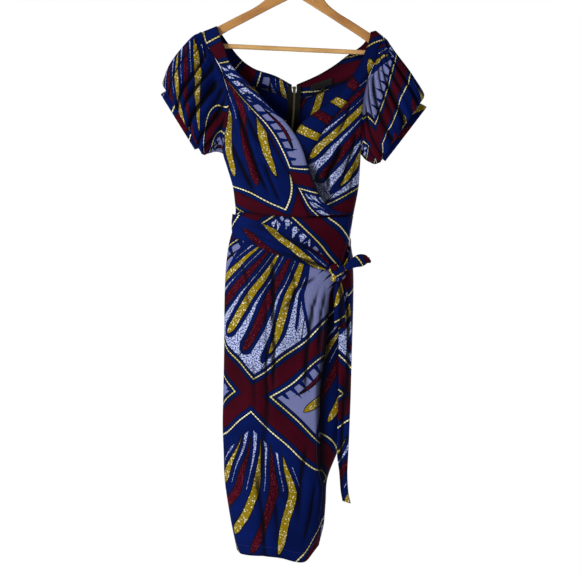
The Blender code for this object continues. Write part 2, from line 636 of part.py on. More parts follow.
# ---------------------------------------------------------------- bodice backs and back bands
def make_back(side, seam, inner):
    """One bodice back and its neck band. Returns the sleeve's seam points."""
    top_z = BACK_ARMHOLE_TOP_Z[side]
    heights = side_heights(side, top_z)
    shares = [(z - top_z) / (heights[-1] - top_z) for z in heights]
    columns = back_columns(side, seam)
    grid = []
    for share in shares:
        row = []
        for angle, seam_z in columns:
            z = seam_z + (waist_z(angle) - seam_z) * share
            row.append(raw_point(angle + (OFF_SEAM if side == "right" else -OFF_SEAM), z))
        at_centre_back(row[-1], side, ZIP_OPENING)
        grid.append(row)
    cloth(f"bodice_back_{side}", inset(grid, ("left", "top", "bottom")))

    side_angle = 2 * math.pi - OFF_SEAM if side == "left" else math.pi + OFF_SEAM
    shoulder = shoulder_places(side, top_z)
    outer = [raw_point(side_angle, z) for _, z in shoulder[:-1]] + grid[0]
    band = band_grid(outer, inner, True, lambda angle: 0.0)
    for point in band[-1]:
        at_centre_back(point, side, ZIP_OPENING)
    band = inset(inset(band, ("left",)), ("top",), RIDGE_GAP)
    cloth(f"neck_band_{side}_back", band, BAND_WALL)
    armhole = [raw_point(side_angle, z) for z in heights[:ARMHOLE_ROWS + 1]]
    return outer[:SHOULDER_ROWS] + armhole


LEFT_BACK_RING = make_back("left", BACK_LEFT_SEAM, BACK_LEFT_INNER)
RIGHT_BACK_RING = make_back("right", BACK_RIGHT_SEAM, BACK_RIGHT_INNER)


# ---------------------------------------------------------------- sleeves and cuffs
def power_pair(angle, power):
    """Cosine and sine of a superellipse."""
    cosine, sine = math.cos(angle), math.sin(angle)
    return (math.copysign(abs(cosine) ** (2 / power), cosine),
            math.copysign(abs(sine) ** (2 / power), sine))


def halved(points):
    """The same row of points with one more between each two."""
    result = []
    for first, second in zip(points, points[1:]):
        result += [first, (first + second) / 2]
    return result + [points[-1]]


def ring_point(ring, angle, power, grow=0.0):
    """A point of an upright ring: angle 0 at its top, the front at a quarter turn."""
    top = Vector((ring.top_x, 0.0, ring.top_z))
    low = Vector((ring.low_x, 0.0, ring.low_z))
    half = (top - low) / 2
    half = half.normalized() * (half.length + grow)
    cosine, sine = power_pair(angle, power)
    return (top + low) / 2 + half * cosine + Vector((0.0, -(ring.half_depth + grow) * sine, 0.0))


def make_sleeve(side, front_ring, back_ring):
    """A puff sleeve from the armhole ring to the cuff, and the cuff."""
    front, back = halved(front_ring), halved(back_ring)
    start = front + back[-2:0:-1]
    turn = len(front) - 1
    angles = [math.pi * i / turn for i in range(turn + 1)]
    angles += [math.pi + math.pi * i / (len(back) - 1) for i in range(1, len(back) - 1)]
    grid = [start]
    for ring in SLEEVE[side]:
        row = []
        for point, angle in zip(start, angles):
            shaped = ring_point(ring, angle, SLEEVE_POWER)
            row.append(point.lerp(shaped, ring.rounded))
        middle = sum(row, Vector()) / len(row)
        for i, angle in enumerate(angles):
            wave = math.cos(SLEEVE_GATHERS * angle + GATHER_SWAY * math.sin(2 * angle))
            row[i] += (row[i] - middle).normalized() * ring.gather * (wave - GATHER_SINK)
        grid.append(row)
    seam, edge = CUFF[side]
    over_cuff = BAND_WALL / 2 + SLEEVE_OVER_CUFF
    onward = Vector((edge.top_x + edge.low_x - seam.top_x - seam.low_x, 0.0,
                     edge.top_z + edge.low_z - seam.top_z - seam.low_z)).normalized()
    onward *= SLEEVE_ON_CUFF
    grid.append([ring_point(seam, angle, SLEEVE_POWER, over_cuff) + onward for angle in angles])
    cloth(f"sleeve_{side}", inset(grid, ("top",), SLEEVE_GAP), tube=True)
    cuff = []
    for share in (0.0, 1.0):
        row = []
        for angle in angles[::2]:
            first, last = ring_point(seam, angle, SLEEVE_POWER), ring_point(edge, angle, SLEEVE_POWER)
            row.append(first.lerp(last, share))
        cuff.append(row)
    cloth(f"sleeve_cuff_{side}", cuff, BAND_WALL, tube=True)


make_sleeve("left", LEFT_FRONT_RING, LEFT_BACK_RING)
make_sleeve("right", RIGHT_FRONT_RING, RIGHT_BACK_RING)


# ---------------------------------------------------------------- skirt
def hem_z(angle):
    """Height of the hem, with a rounded corner at the front's free edge."""
    t = -math.cos(angle)
    if math.sin(angle) < 0:
        return straight((-1.0, 1.0), BACK_HEM_Z, t) - BACK_HEM_SAG * (1 - t * t)
    return smooth(HEM_T, HEM_Z, t)


def free_edge_x(z):
    """The over panel's free edge."""
    return smooth([-height for height in FREE_EDGE_Z], FREE_EDGE_X, -z)


def skirt_grid(start_angle, end_angle_at, steps, hem, out):
    """Rows of a skirt panel from the waist seam to its hem."""
    grid = []
    for r in range(SKIRT_ROWS + 1):
        row = []
        for i in range(steps + 1):
            angle, z = start_angle, WAIST_Z
            for _ in range(8):
                z = waist_z(angle) + (hem(angle) - waist_z(angle)) * r / SKIRT_ROWS
                angle = start_angle + (end_angle_at(z) - start_angle) * i / steps
            row.append(body_point(angle, z, out(angle)))
        grid.append(row)
    return grid


over_panel = skirt_grid(0.0, lambda z: angle_at(free_edge_x(z), z), OVER_STEPS, hem_z, over_lift)
cloth("skirt_front_over", inset(over_panel, ("left", "top")))
under_panel = skirt_grid(math.pi, lambda z: angle_at(free_edge_x(z) - UNDER_LAP, z), UNDER_STEPS,
                         lambda angle: UNDER_HEM_Z, lambda angle: 0.0)
cloth("skirt_front_under", inset(under_panel, ("left", "top")))


def make_skirt_back(side):
    """One back skirt panel, open beside the zip and sewn to the other below it."""
    start = 2 * math.pi - OFF_SEAM if side == "left" else math.pi + OFF_SEAM
    grid = skirt_grid(start, lambda z: CENTRE_ANGLE, BACK_PANEL_STEPS, hem_z, lambda angle: 0.0)
    for row in grid:
        below_zip = ease((ZIP_END_Z - row[-1].z) / ZIP_CLOSING)
        half_gap = ZIP_OPENING + (SEAM_GAP / 2 - ZIP_OPENING) * below_zip
        at_centre_back(row[-1], side, half_gap)
    cloth(f"skirt_back_{side}", inset(grid, ("left", "top")))


make_skirt_back("left")
make_skirt_back("right")


# ---------------------------------------------------------------- zip
def zip_strip(heights, distances_at, out):
    """Rows of a strip along the centre back, between two signed distances from its line."""
    grid = []
    for z in heights:
        middle = body_point(CENTRE_ANGLE, z, out)
        grid.append([middle + Vector((distance, 0.0, 0.0)) for distance in distances_at(z)])
    return grid


def tape_edges(sign):
    """The tape's two edges: its inner edge passes the slider, then keeps close to the chain."""
    def at(z):
        above_close = z > (ZIP_ROWS[0] + TAPES_CLOSE_Z) / 2
        inner = SLIDER_WIDTH / 2 + BESIDE_SLIDER if above_close else TAPE_INNER
        return (sign * inner, sign * TAPE_OUTER)
    return at


TAPE_OUT = -(CLOTH_WALL / 2 + TAPE_THICKNESS / 2 + TAPE_CLEAR)
for side, sign in (("left", -1), ("right", 1)):
    cloth(f"zip_tape_{side}", zip_strip([ZIP_TOP_Z] + ZIP_ROWS, tape_edges(sign), TAPE_OUT),
          TAPE_THICKNESS, "tape")
cloth("zip_chain", zip_strip(ZIP_ROWS, lambda z: (-CHAIN_HALF_WIDTH, CHAIN_HALF_WIDTH), CHAIN_OUT),
      CHAIN_THICKNESS, "zip_metal")


def flat_piece(name, outlines, thickness, finish, lean=0.0):
    """A flat plate in the XZ plane from closed outlines, leaning about X; later ones are holes."""
    curve = bpy.data.curves.new(name, "CURVE")
    curve.dimensions = "2D"
    curve.fill_mode = "BOTH"
    curve.extrude = thickness / 2
    for outline in outlines:
        spline = curve.splines.new("POLY")
        spline.points.add(len(outline) - 1)
        for point, (x, z) in zip(spline.points, outline):
            point.co = (x, z, 0.0, 1.0)
        spline.use_cyclic_u = True
    piece = bpy.data.objects.new(name, curve)
    DRESS.objects.link(piece)
    piece.rotation_euler = (math.radians(90) + lean, 0.0, 0.0)
    curve.materials.append(material(finish))
    return piece


def as_mesh(piece):
    """The same object as a mesh, with the curve's loose caps welded."""
    bpy.context.view_layer.update()
    evaluated = piece.evaluated_get(bpy.context.evaluated_depsgraph_get())
    mesh = bpy.data.meshes.new_from_object(evaluated)
    mesh.transform(piece.matrix_world)
    bm = bmesh.new()
    bm.from_mesh(mesh)
    bmesh.ops.remove_doubles(bm, verts=bm.verts, dist=0.00001)
    bmesh.ops.recalc_face_normals(bm, faces=bm.faces)
    bm.to_mesh(mesh)
    bm.free()
    name = piece.name
    made = bpy.data.objects.new(name, mesh)
    for collection in piece.users_collection:
        collection.objects.link(made)
    bpy.data.objects.remove(piece, do_unlink=True)
    made.name = name
    return made


slider_middle = body_point(CENTRE_ANGLE, SLIDER_TOP_Z - SLIDER_HEIGHT / 2, CHAIN_OUT)
slider_face = slider_middle.y + SLIDER_DEPTH / 2
slider = box("zip_slider", slider_middle, (SLIDER_WIDTH, SLIDER_DEPTH, SLIDER_HEIGHT),
             "zip_metal", SLIDER_ROUND)
crown_top = slider_face + CROWN_OPENING + CROWN_BAR
crown = box("crown", (slider_middle.x, (slider_face + crown_top) / 2 - CROWN_ROOT, slider_middle.z),
            (CROWN_WIDTH, CROWN_OPENING + CROWN_BAR + 2 * CROWN_ROOT, CROWN_HEIGHT), "zip_metal",
            collection=CUTTERS)
crown_window = box("crown_window", (slider_middle.x, slider_face + CROWN_OPENING / 2, slider_middle.z),
                   (CROWN_WINDOW, CROWN_OPENING, CROWN_HEIGHT - 2 * CROWN_BAR), "zip_metal",
                   collection=CUTTERS)
cut(slider, crown, "UNION")
cut(slider, crown_window)

# The pull hangs on a cross bar inside the crown; its hinge runs along X through that bar.
hinge = Vector((slider_middle.x, slider_face + CROWN_OPENING / 2 + PULL_OVER_HINGE, slider_middle.z))
half_bar = PULL_BAR / 2
half_width = PULL_WIDTH / 2
half_eye = PULL_EYE / 2
pull_side = [(half_width * wide, -PULL_LENGTH * down) for wide, down in PULL_SIDE]
pull_outline = [(-half_width, half_bar), (half_width, half_bar)] + pull_side
pull_outline += [(-x, z) for x, z in reversed(pull_side)]
eye_low = -half_bar - PULL_EYE_LENGTH
eye_outline = ((-half_eye, -half_bar), (half_eye, -half_bar), (half_eye, eye_low), (-half_eye, eye_low))
pull = as_mesh(flat_piece("zip_pull", (pull_outline, eye_outline), PULL_BAR, "zip_metal", PULL_LEAN))
pull.location = hinge


# ---------------------------------------------------------------- label and tab
def inside_band(name, top_edge, height):
    """A small piece sewn flat on the inside of the right back band."""
    out = -(BAND_WALL / 2 + LABEL_THICKNESS / 2 + LABEL_CLEAR)
    (first_x, first_z), (last_x, last_z) = top_edge
    grid = []
    for r in range(LABEL_ROWS + 1):
        row = []
        for i in range(LABEL_STEPS + 1):
            x = first_x + (last_x - first_x) * i / LABEL_STEPS
            z = first_z + (last_z - first_z) * i / LABEL_STEPS - height * r / LABEL_ROWS
            row.append(body_point(angle_at(x, z, back=True), z, out))
        grid.append(row)
    cloth(name, grid, LABEL_THICKNESS, "label")


inside_band("neck_label", LABEL_TOP, LABEL_HEIGHT)
inside_band("neck_label_tab", TAB_TOP, TAB_HEIGHT)

# ---------------------------------------------------------------- tie sash
sash_keys = [row.x for row in SASH]
sash = []
for i in range(SASH_STEPS + 1):
    share = 1 - math.cos(math.pi * i / (2 * SASH_STEPS))
    x = SASH[0].x + (SASH[-1].x - SASH[0].x) * share
    upper, lower, out = (smooth(sash_keys, [getattr(row, name) for row in SASH], x)
                         for name in ("upper", "lower", "out"))
    row = []
    for across in (0.0, 0.5, 1.0):
        z = upper + (lower - upper) * across
        row.append(body_point(angle_at(x, z), z, out))
    sash.append(row)
cloth("sash_front", sash, BAND_WALL)

knot_surface = raw_point(angle_at(KNOT_CENTRE_X, KNOT_CENTRE_Z), KNOT_CENTRE_Z)
knot_centre = Vector((KNOT_CENTRE_X, knot_surface.y - KNOT_OUT, KNOT_CENTRE_Z))
box("sash_knot", knot_centre, KNOT_SIZE, "wax_print", KNOT_ROUND)


def ribbon(name, spine, across, widths):
    """A strip of cloth along a spine, with its width along a fixed direction."""
    grid = []
    for point, width in zip(spine, widths):
        grid.append([point - across * width / 2, point, point + across * width / 2])
    cloth(name, grid, BAND_WALL)


# The loop leaves the knot's right side, turns back at its tip and returns behind itself.
loop_start = knot_centre + Vector((KNOT_SIZE.x / 2 + LOOP_CLEAR, 0.0, LOOP_ABOVE))
loop_keys = [row.right for row in LOOP]
layer_rows = []
for i in range(LOOP_STEPS + 1):
    right = LOOP[-1].right * i / LOOP_STEPS
    layer_rows.append(LoopRow(*(smooth(loop_keys, [getattr(row, name) for row in LOOP], right)
                                for name in LoopRow._fields)))
loop_spine = [loop_start + Vector((row.right, -row.half_gap, row.up)) for row in layer_rows]
loop_widths = [row.width for row in layer_rows]
tip = layer_rows[-1]
for i in range(1, LOOP_TURN_STEPS):
    turn = math.pi * i / LOOP_TURN_STEPS
    around = Vector((math.sin(turn), -math.cos(turn), 0.0)) * tip.half_gap
    loop_spine.append(loop_start + Vector((tip.right, 0.0, tip.up)) + around)
    loop_widths.append(tip.width)
loop_spine += [loop_start + Vector((row.right, row.half_gap, row.up)) for row in reversed(layer_rows)]
loop_widths += [row.width for row in reversed(layer_rows)]
ribbon("sash_loop", loop_spine, LOOP_ACROSS, loop_widths)


def tail(name, table, steps):
    """A hanging end of the sash, from a table of its sections."""
    keys = [-row.z for row in table]
    spine, widths = [], []
    for i in range(steps + 1):
        z = table[0].z + (table[-1].z - table[0].z) * i / steps
        x, width, forward = (smooth(keys, [getattr(row, field) for row in table], -z)
                             for field in ("x", "width", "forward"))
        spine.append(Vector((x, knot_centre.y - forward, z)))
        widths.append(width)
    ribbon(name, spine, Vector((1.0, 0.0, 0.0)), widths)


tail("sash_tail_short", SHORT_TAIL, SHORT_TAIL_STEPS)
tail("sash_tail_long", LONG_TAIL, LONG_TAIL_STEPS)

# The short end sewn into the right side seam, which comes round to the back of the knot.
side_end_last = angle_at(SIDE_END_LAST_X, SIDE_END_LAST_Z)
end_grid = []
for i in range(SIDE_END_STEPS + 1):
    u = i / SIDE_END_STEPS
    angle = SIDE_END_START.angle + (side_end_last - SIDE_END_START.angle) * u
    upper = SIDE_END_START.upper - SIDE_END_DROP[0] * u
    lower = SIDE_END_START.lower - SIDE_END_DROP[1] * u
    out = SIDE_END_START.out + SIDE_END_RISE * u * u
    end_grid.append([body_point(angle, upper + (lower - upper) * across, out) for across in (0.0, 0.5, 1.0)])
cloth("sash_side_end", end_grid, BAND_WALL)


# ---------------------------------------------------------------- hanger
hanger = bpy.data.objects.new("hanger_frame", None)
DRESS.objects.link(hanger)
hanger.location = (0.0, 0.0, -HOOK_INNER_RADIUS)
hanger.rotation_euler = (0.0, HANGER_TILT, 0.0)

mirrored = [(-x, z) for x, z in reversed(ARM_OUTLINE[:-1])]
arms = as_mesh(flat_piece("hanger_arms", (list(ARM_OUTLINE) + mirrored,), ARM_THICKNESS, "wood"))
arms.parent = hanger
softened = arms.modifiers.new("softened", "BEVEL")
softened.width = ARM_BEVEL
softened.segments = 2
softened.limit_method = "ANGLE"
softened.angle_limit = math.radians(60)


def turned_rod(name, radius, start, end, finish, collection=DRESS, sides=ROD_SIDES):
    """A round rod between two points on a straight line."""
    bm = bmesh.new()
    length = (Vector(end) - Vector(start)).length
    bmesh.ops.create_cone(bm, cap_ends=True, segments=sides, radius1=radius, radius2=radius, depth=length)
    mesh = bpy.data.meshes.new(name)
    bm.to_mesh(mesh)
    bm.free()
    rod = add_mesh(name, mesh, finish, collection)
    direction = Vector(end) - Vector(start)
    rod.rotation_mode = "QUATERNION"
    rod.rotation_quaternion = Vector((0.0, 0.0, 1.0)).rotation_difference(direction)
    rod.location = (Vector(start) + Vector(end)) / 2
    rod.parent = hanger
    return rod


hole_radius = BAR_RADIUS + BAR_HOLE_CLEARANCE
hole_reach = BAR_HALF_LENGTH + BAR_HOLE_CLEARANCE
turned_rod("hanger_bar", BAR_RADIUS, (-BAR_HALF_LENGTH, 0, BAR_Z), (BAR_HALF_LENGTH, 0, BAR_Z),
           "bar_wood")
bar_hole = turned_rod("bar_hole", hole_radius, (-hole_reach, 0, BAR_Z), (hole_reach, 0, BAR_Z),
                      "bar_wood", CUTTERS)
stem_hole = turned_rod("stem_hole", HOOK_WIRE_RADIUS + STEM_CLEARANCE,
                       (0, 0, STEM_END_Z - STEM_CLEARANCE), (0, 0, NECK_TOP_Z + STEM_HOLE_OVER),
                       "steel", CUTTERS, STEM_HOLE_SIDES)
cut(arms, bar_hole)
cut(arms, stem_hole)

# The hook: a circle open on the left, carried by a stem that bends back under its middle.
wire_circle = HOOK_INNER_RADIUS + HOOK_WIRE_RADIUS
route = [(0.0, STEM_END_Z)] + [(0.0, z) for z in STEM_BENDS_Z]
for degrees in HOOK_TURN:
    turn = math.radians(degrees)
    route.append((wire_circle * math.cos(turn), wire_circle * math.sin(turn)))
hook_curve = bpy.data.curves.new("hanger_hook", "CURVE")
hook_curve.dimensions = "3D"
hook_curve.bevel_depth = HOOK_WIRE_RADIUS
hook_curve.bevel_resolution = 3
hook_curve.use_fill_caps = True
spline = hook_curve.splines.new("POLY")
spline.points.add(HOOK_STEPS)
for i, point in enumerate(spline.points):
    x, z = along(route, i / HOOK_STEPS)
    point.co = (x, 0.0, z, 1.0)
hook_curve.materials.append(material("steel"))
hook = bpy.data.objects.new("hanger_hook", hook_curve)
DRESS.objects.link(hook)
hook.parent = hanger
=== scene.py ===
"""The looks of a wax print wrap dress with puff sleeves, hanging on a wooden hanger."""
import math
from collections import namedtuple

import bmesh
import bpy
import numpy as np
from mathutils import Matrix, Vector


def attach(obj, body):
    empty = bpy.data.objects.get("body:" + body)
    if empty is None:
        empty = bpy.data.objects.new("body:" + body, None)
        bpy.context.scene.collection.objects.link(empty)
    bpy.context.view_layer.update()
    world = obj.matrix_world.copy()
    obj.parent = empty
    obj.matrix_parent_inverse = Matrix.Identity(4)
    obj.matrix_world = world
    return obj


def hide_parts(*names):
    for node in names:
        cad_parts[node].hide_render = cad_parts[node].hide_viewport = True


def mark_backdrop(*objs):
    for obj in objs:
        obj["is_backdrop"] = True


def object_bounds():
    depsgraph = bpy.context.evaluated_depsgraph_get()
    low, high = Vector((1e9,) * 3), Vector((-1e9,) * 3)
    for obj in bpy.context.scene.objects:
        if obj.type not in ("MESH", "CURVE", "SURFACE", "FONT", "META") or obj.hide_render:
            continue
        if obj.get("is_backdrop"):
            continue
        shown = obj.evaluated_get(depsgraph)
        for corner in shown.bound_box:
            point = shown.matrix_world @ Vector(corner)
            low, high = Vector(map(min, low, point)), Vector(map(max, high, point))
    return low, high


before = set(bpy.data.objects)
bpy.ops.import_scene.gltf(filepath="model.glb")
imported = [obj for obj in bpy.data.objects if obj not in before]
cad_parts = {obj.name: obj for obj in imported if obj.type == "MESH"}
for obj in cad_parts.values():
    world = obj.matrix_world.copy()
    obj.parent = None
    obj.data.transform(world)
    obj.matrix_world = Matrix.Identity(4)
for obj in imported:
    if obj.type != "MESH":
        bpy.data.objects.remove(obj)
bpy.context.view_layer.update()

# ==================================================================== bodice fronts
# Two fronts of printed cotton cut on the slant and wrapped over each other, the left one on top.
# They hang in the flattened tube that the hanger gives the dress, with creases falling from the
# armholes and the bands towards the waist seam.
MM = 0.001
CLOTH_WALL = 0.0011
SECTION_POWER = 2.3
SHOULDER_FOLD = 0.010
LAP = 0.0036
LAP_START_T, LAP_REACH_T = -0.95, 0.40
SLOPE_ANGLE, SLOPE_HEIGHT = 0.02, 0.002
FLAT_AT_SIDE_T = 0.10
SEAM_DIP, SEAM_DIP_REACH = 0.0009, 0.035

BodyRow = namedtuple("BodyRow", "z left right front back armhole roundness")
BODY = np.array((
    (-0.170, -0.2018, 0.1822, 0.020, 0.020, 0.0095, 1.00),
    (-0.200, -0.1958, 0.1782, 0.023, 0.022, 0.0100, 1.00),
    (-0.220, -0.1858, 0.1672, 0.026, 0.024, 0.0110, 1.00),
    (-0.240, -0.1728, 0.1642, 0.029, 0.026, 0.0130, 1.00),
    (-0.258, -0.1618, 0.1562, 0.032, 0.029, 0.0150, 1.00),
    (-0.279, -0.1548, 0.1472, 0.035, 0.031, 0.0180, 1.00),
    (-0.312, -0.1448, 0.1382, 0.040, 0.035, 0.0250, 1.00),
    (-0.340, -0.1428, 0.1342, 0.044, 0.038, 0.0290, 1.00),
    (-0.370, -0.1448, 0.1322, 0.047, 0.040, 0.0290, 0.95),
    (-0.400, -0.1508, 0.1312, 0.049, 0.042, 0.0240, 0.80),
    (-0.424, -0.1548, 0.1302, 0.050, 0.043, 0.0140, 0.60),
    (-0.441, -0.1558, 0.1302, 0.050, 0.044, 0.0000, 0.45),
    (-0.464, -0.1488, 0.1292, 0.050, 0.044, 0.0000, 0.43),
    (-0.508, -0.1358, 0.1262, 0.046, 0.041, 0.0000, 0.43),
    (-0.537, -0.1318, 0.1212, 0.042, 0.039, 0.0000, 0.43),
    (-0.562, -0.1298, 0.1162, 0.040, 0.038, 0.0000, 0.43),
    (-0.593, -0.1348, 0.1112, 0.042, 0.041, 0.0000, 0.43),
    (-0.628, -0.1438, 0.1072, 0.045, 0.045, 0.0000, 0.43),
    (-0.674, -0.1498, 0.1142, 0.049, 0.048, 0.0000, 0.43),
    (-0.738, -0.1528, 0.1152, 0.052, 0.051, 0.0000, 0.43),
    (-0.849, -0.1538, 0.1122, 0.053, 0.053, 0.0000, 0.43),
    (-0.953, -0.1558, 0.1082, 0.052, 0.053, 0.0000, 0.43),
    (-1.005, -0.1568, 0.1002, 0.051, 0.052, 0.0000, 0.43),
    (-1.059, -0.1548, 0.0822, 0.049, 0.050, 0.0000, 0.43),
    (-1.115, -0.1528, 0.0612, 0.046, 0.048, 0.0000, 0.43),
    (-1.167, -0.1458, 0.0572, 0.044, 0.046, 0.0000, 0.43),
    (-1.213, -0.1378, 0.0532, 0.042, 0.044, 0.0000, 0.43),
    (-1.246, -0.1308, 0.0452, 0.040, 0.042, 0.0000, 0.43),
    (-1.290, -0.1218, 0.0382, 0.038, 0.040, 0.0000, 0.43),
))
RIDGE_X = (-0.2128, -0.2018, -0.1858, -0.1688, -0.1558, 0.1442, 0.1512, 0.1612, 0.1762, 0.1822, 0.1932)
RIDGE_Z = (-0.1945, -0.1888, -0.1822, -0.1753, -0.170, -0.184, -0.1886, -0.1862, -0.1965, -0.2035, -0.218)
UNDERARM_Z = -0.441
ARMHOLE_ROWS = 7
OFF_SEAM = 1e-6
ARMHOLE_TOP_Z = {"left": -0.279, "right": -0.266}
BACK_ARMHOLE_TOP_Z = {"left": -0.262, "right": -0.262}
SHOULDER_SECTION_Z = {"left": -0.188, "right": -0.2035}
SHOULDER_SHARES = (0.0, 0.018, 0.06, 0.14, 0.32, 0.62, 1.0)
WAIST_Z, WAIST_DROP, WAIST_SAG = -0.560, 0.010, 0.008

LEFT_INNER = ((-0.1688, -0.1753), (-0.1558, -0.211), (-0.1378, -0.257), (-0.0998, -0.297),
              (-0.0558, -0.346), (-0.0188, -0.385), (0.0062, -0.426), (0.0262, -0.490),
              (0.0462, -0.532), (0.0722, -0.557), (0.1060, -0.566))
LEFT_SEAM = ((-0.1548, -0.279), (-0.1228, -0.319), (-0.0978, -0.349), (-0.0628, -0.401),
             (-0.0378, -0.448), (-0.0148, -0.487), (0.0022, -0.523), (0.0232, -0.5715))
RIGHT_SEAM = ((0.1522, -0.266), (0.1412, -0.281), (0.1212, -0.308), (0.1022, -0.334),
              (0.0802, -0.360), (0.0572, -0.388), (0.0412, -0.413), (0.0242, -0.445),
              (0.0102, -0.485), (-0.0018, -0.535), (-0.0108, -0.573))

# The painted shadow in the gap under the wrap: heights below the hook, how dark it is there and how wide,
# and the share of its width that is fully dark.
WRAP_SHADE_Z = (0.400, 0.440, 0.480, 0.520, 0.540, 0.556)
WRAP_SHADE = (0.00, 0.80, 1.00, 1.00, 0.90, 0.00)
WRAP_SHADE_REACH = (0.007, 0.015, 0.026, 0.037, 0.033, 0.024)
WRAP_SHADE_FULL = 0.45

# Long soft folds of the skirt that the shape of the body itself has.
Fold = namedtuple("Fold", "t half_width depth")
FRONT_FOLDS = [Fold(-0.31, 0.17, 0.004)]
BACK_FOLDS = [Fold(-0.68, 0.16, 0.011), Fold(-0.37, 0.15, 0.008), Fold(0.33, 0.16, 0.010),
              Fold(0.68, 0.16, 0.011)]
FOLD_TOP_Z, FOLD_FULL_Z = -0.575, -0.760

# The waves of worn cloth: radians per metre across and down, phase, and height in millimetres.
RUMPLES = ((61, 17, 0.4, 0.55), (-38, 42, 1.7, 0.50), (23, -71, 2.9, 0.35), (88, 9, 4.1, 0.30))

# Creases as paths over the cloth: points (x, z), half width and depth in millimetres. A trough
# has a positive depth and pushes up a low ridge on each side of itself.
CREASE_START, CREASE_END, CREASE_RIDGE = 0.28, 0.34, (0.38, 1.9)
Crease = namedtuple("Crease", "path width depth")
FRONT_CREASES = [Crease(*row) for row in (
    (((-0.130, -0.329), (-0.121, -0.362), (-0.109, -0.398), (-0.094, -0.445), (-0.082, -0.480),
      (-0.067, -0.508), (-0.052, -0.545)), 4.6, 4.6),
    (((-0.150, -0.392), (-0.134, -0.430), (-0.108, -0.487), (-0.079, -0.540)), 6.5, 2.6),
    (((-0.143, -0.322), (-0.139, -0.366), (-0.144, -0.410)), 3.8, 2.6),
    (((-0.075, -0.452), (-0.054, -0.505), (-0.031, -0.552)), 5.0, 2.2),
    (((-0.112, -0.350), (-0.093, -0.392), (-0.070, -0.440)), 4.5, 1.6),
    (((-0.128, -0.520), (-0.100, -0.535), (-0.070, -0.548)), 4.0, 1.2),
    (((0.094, -0.418), (0.080, -0.451), (0.061, -0.486), (0.064, -0.527)), 5.6, 5.4),
    (((0.122, -0.372), (0.116, -0.422), (0.099, -0.474), (0.086, -0.522)), 4.8, 2.4),
    (((0.126, -0.440), (0.112, -0.490), (0.104, -0.545)), 5.0, 1.8),
    (((0.112, -0.330), (0.098, -0.370), (0.078, -0.408)), 4.2, 2.0),
    (((0.020, -0.500), (0.048, -0.530), (0.078, -0.549)), 4.5, 1.8),
    (((-0.052, -0.652), (-0.050, -0.740), (-0.049, -0.850), (-0.050, -0.960)), 4.8, 4.2),
    (((-0.092, -0.850), (-0.090, -0.920), (-0.086, -1.000)), 6.5, 1.5),
    (((-0.064, -0.815), (-0.066, -0.885), (-0.062, -0.980)), 4.0, 1.2),
    (((0.055, -0.692), (0.030, -0.760), (0.017, -0.850), (0.012, -0.960)), 6.0, 2.4),
    (((0.048, -0.690), (-0.002, -0.722), (-0.035, -0.780)), 5.5, 1.8),
    (((0.060, -0.700), (0.044, -0.780), (0.040, -0.880)), 5.0, 2.2),
    (((-0.125, -0.650), (-0.105, -0.700), (-0.100, -0.790)), 6.5, 1.8),
    (((-0.020, -0.665), (-0.008, -0.705), (-0.010, -0.760)), 4.5, 1.3),
    (((-0.130, -1.000), (-0.095, -1.090), (-0.080, -1.190)), 8.0, 1.8),
    (((0.020, -1.020), (0.004, -1.120), (-0.004, -1.230)), 7.0, 2.0),
    (((0.036, -1.100), (0.024, -1.190), (0.006, -1.262)), 5.0, 2.4),
    (((-0.050, -1.140), (-0.044, -1.210), (-0.046, -1.270)), 6.0, 1.4),
)]
BACK_CREASES = [Crease(*row) for row in (
    (((-0.124, -0.335), (-0.106, -0.400), (-0.078, -0.480), (-0.060, -0.545)), 5.0, 3.6),
    (((-0.146, -0.400), (-0.122, -0.460), (-0.100, -0.530)), 6.0, 2.4),
    (((-0.062, -0.340), (-0.052, -0.420), (-0.044, -0.510)), 5.5, 1.8),
    (((0.112, -0.345), (0.094, -0.410), (0.064, -0.490), (0.046, -0.548)), 5.0, 3.2),
    (((0.124, -0.420), (0.108, -0.480), (0.090, -0.540)), 5.5, 2.2),
    (((0.040, -0.345), (0.034, -0.430), (0.028, -0.520)), 5.0, 1.6),
    (((-0.040, -0.590), (-0.046, -0.690), (-0.044, -0.860)), 6.0, 2.4),
    (((0.030, -0.590), (0.034, -0.700), (0.030, -0.900)), 6.0, 2.2),
    (((-0.010, -0.780), (-0.014, -0.900), (-0.012, -1.060)), 5.0, 2.0),
    (((0.020, -1.000), (0.004, -1.110), (0.002, -1.230)), 6.0, 2.2),
    (((-0.100, -1.020), (-0.086, -1.120), (-0.080, -1.230)), 7.0, 2.0),
)]


def smooth(keys, values, key):
    """Read at key the smooth curve through (keys, values); keys rise."""
    keys, values = np.asarray(keys, float), np.asarray(values, float)
    last = len(keys) - 1
    before = np.maximum(np.arange(last + 1) - 1, 0)
    after = np.minimum(np.arange(last + 1) + 1, last)
    more = (1,) * (values.ndim - 1)
    slopes = (values[after] - values[before]) / (keys[after] - keys[before]).reshape(-1, *more)
    key = np.clip(np.asarray(key, float), keys[0], keys[-1])
    i = np.clip(np.searchsorted(keys, key, "right") - 1, 0, last - 1)
    span = keys[i + 1] - keys[i]
    u = ((key - keys[i]) / span).reshape(key.shape + more)
    span = span.reshape(key.shape + more)
    start = values[i] * (1 + 2 * u) * (1 - u) ** 2 + slopes[i] * span * u * (1 - u) ** 2
    return start + values[i + 1] * u * u * (3 - 2 * u) - slopes[i + 1] * span * u * u * (1 - u)


def lengths(points):
    """Distance down rows of points, from the first row to each."""
    steps = np.linalg.norm(np.diff(np.asarray(points, float), axis=0), axis=-1)
    return np.concatenate([np.zeros((1, *steps.shape[1:])), np.cumsum(steps, axis=0)])


def unit(vectors):
    """The same directions with a length of 1."""
    return vectors / np.linalg.norm(vectors, axis=-1, keepdims=True)


def along(points, fraction):
    """Points at fractions of the length of a smooth curve through points."""
    keys = lengths(points)
    return smooth(keys, points, np.asarray(fraction) * keys[-1])


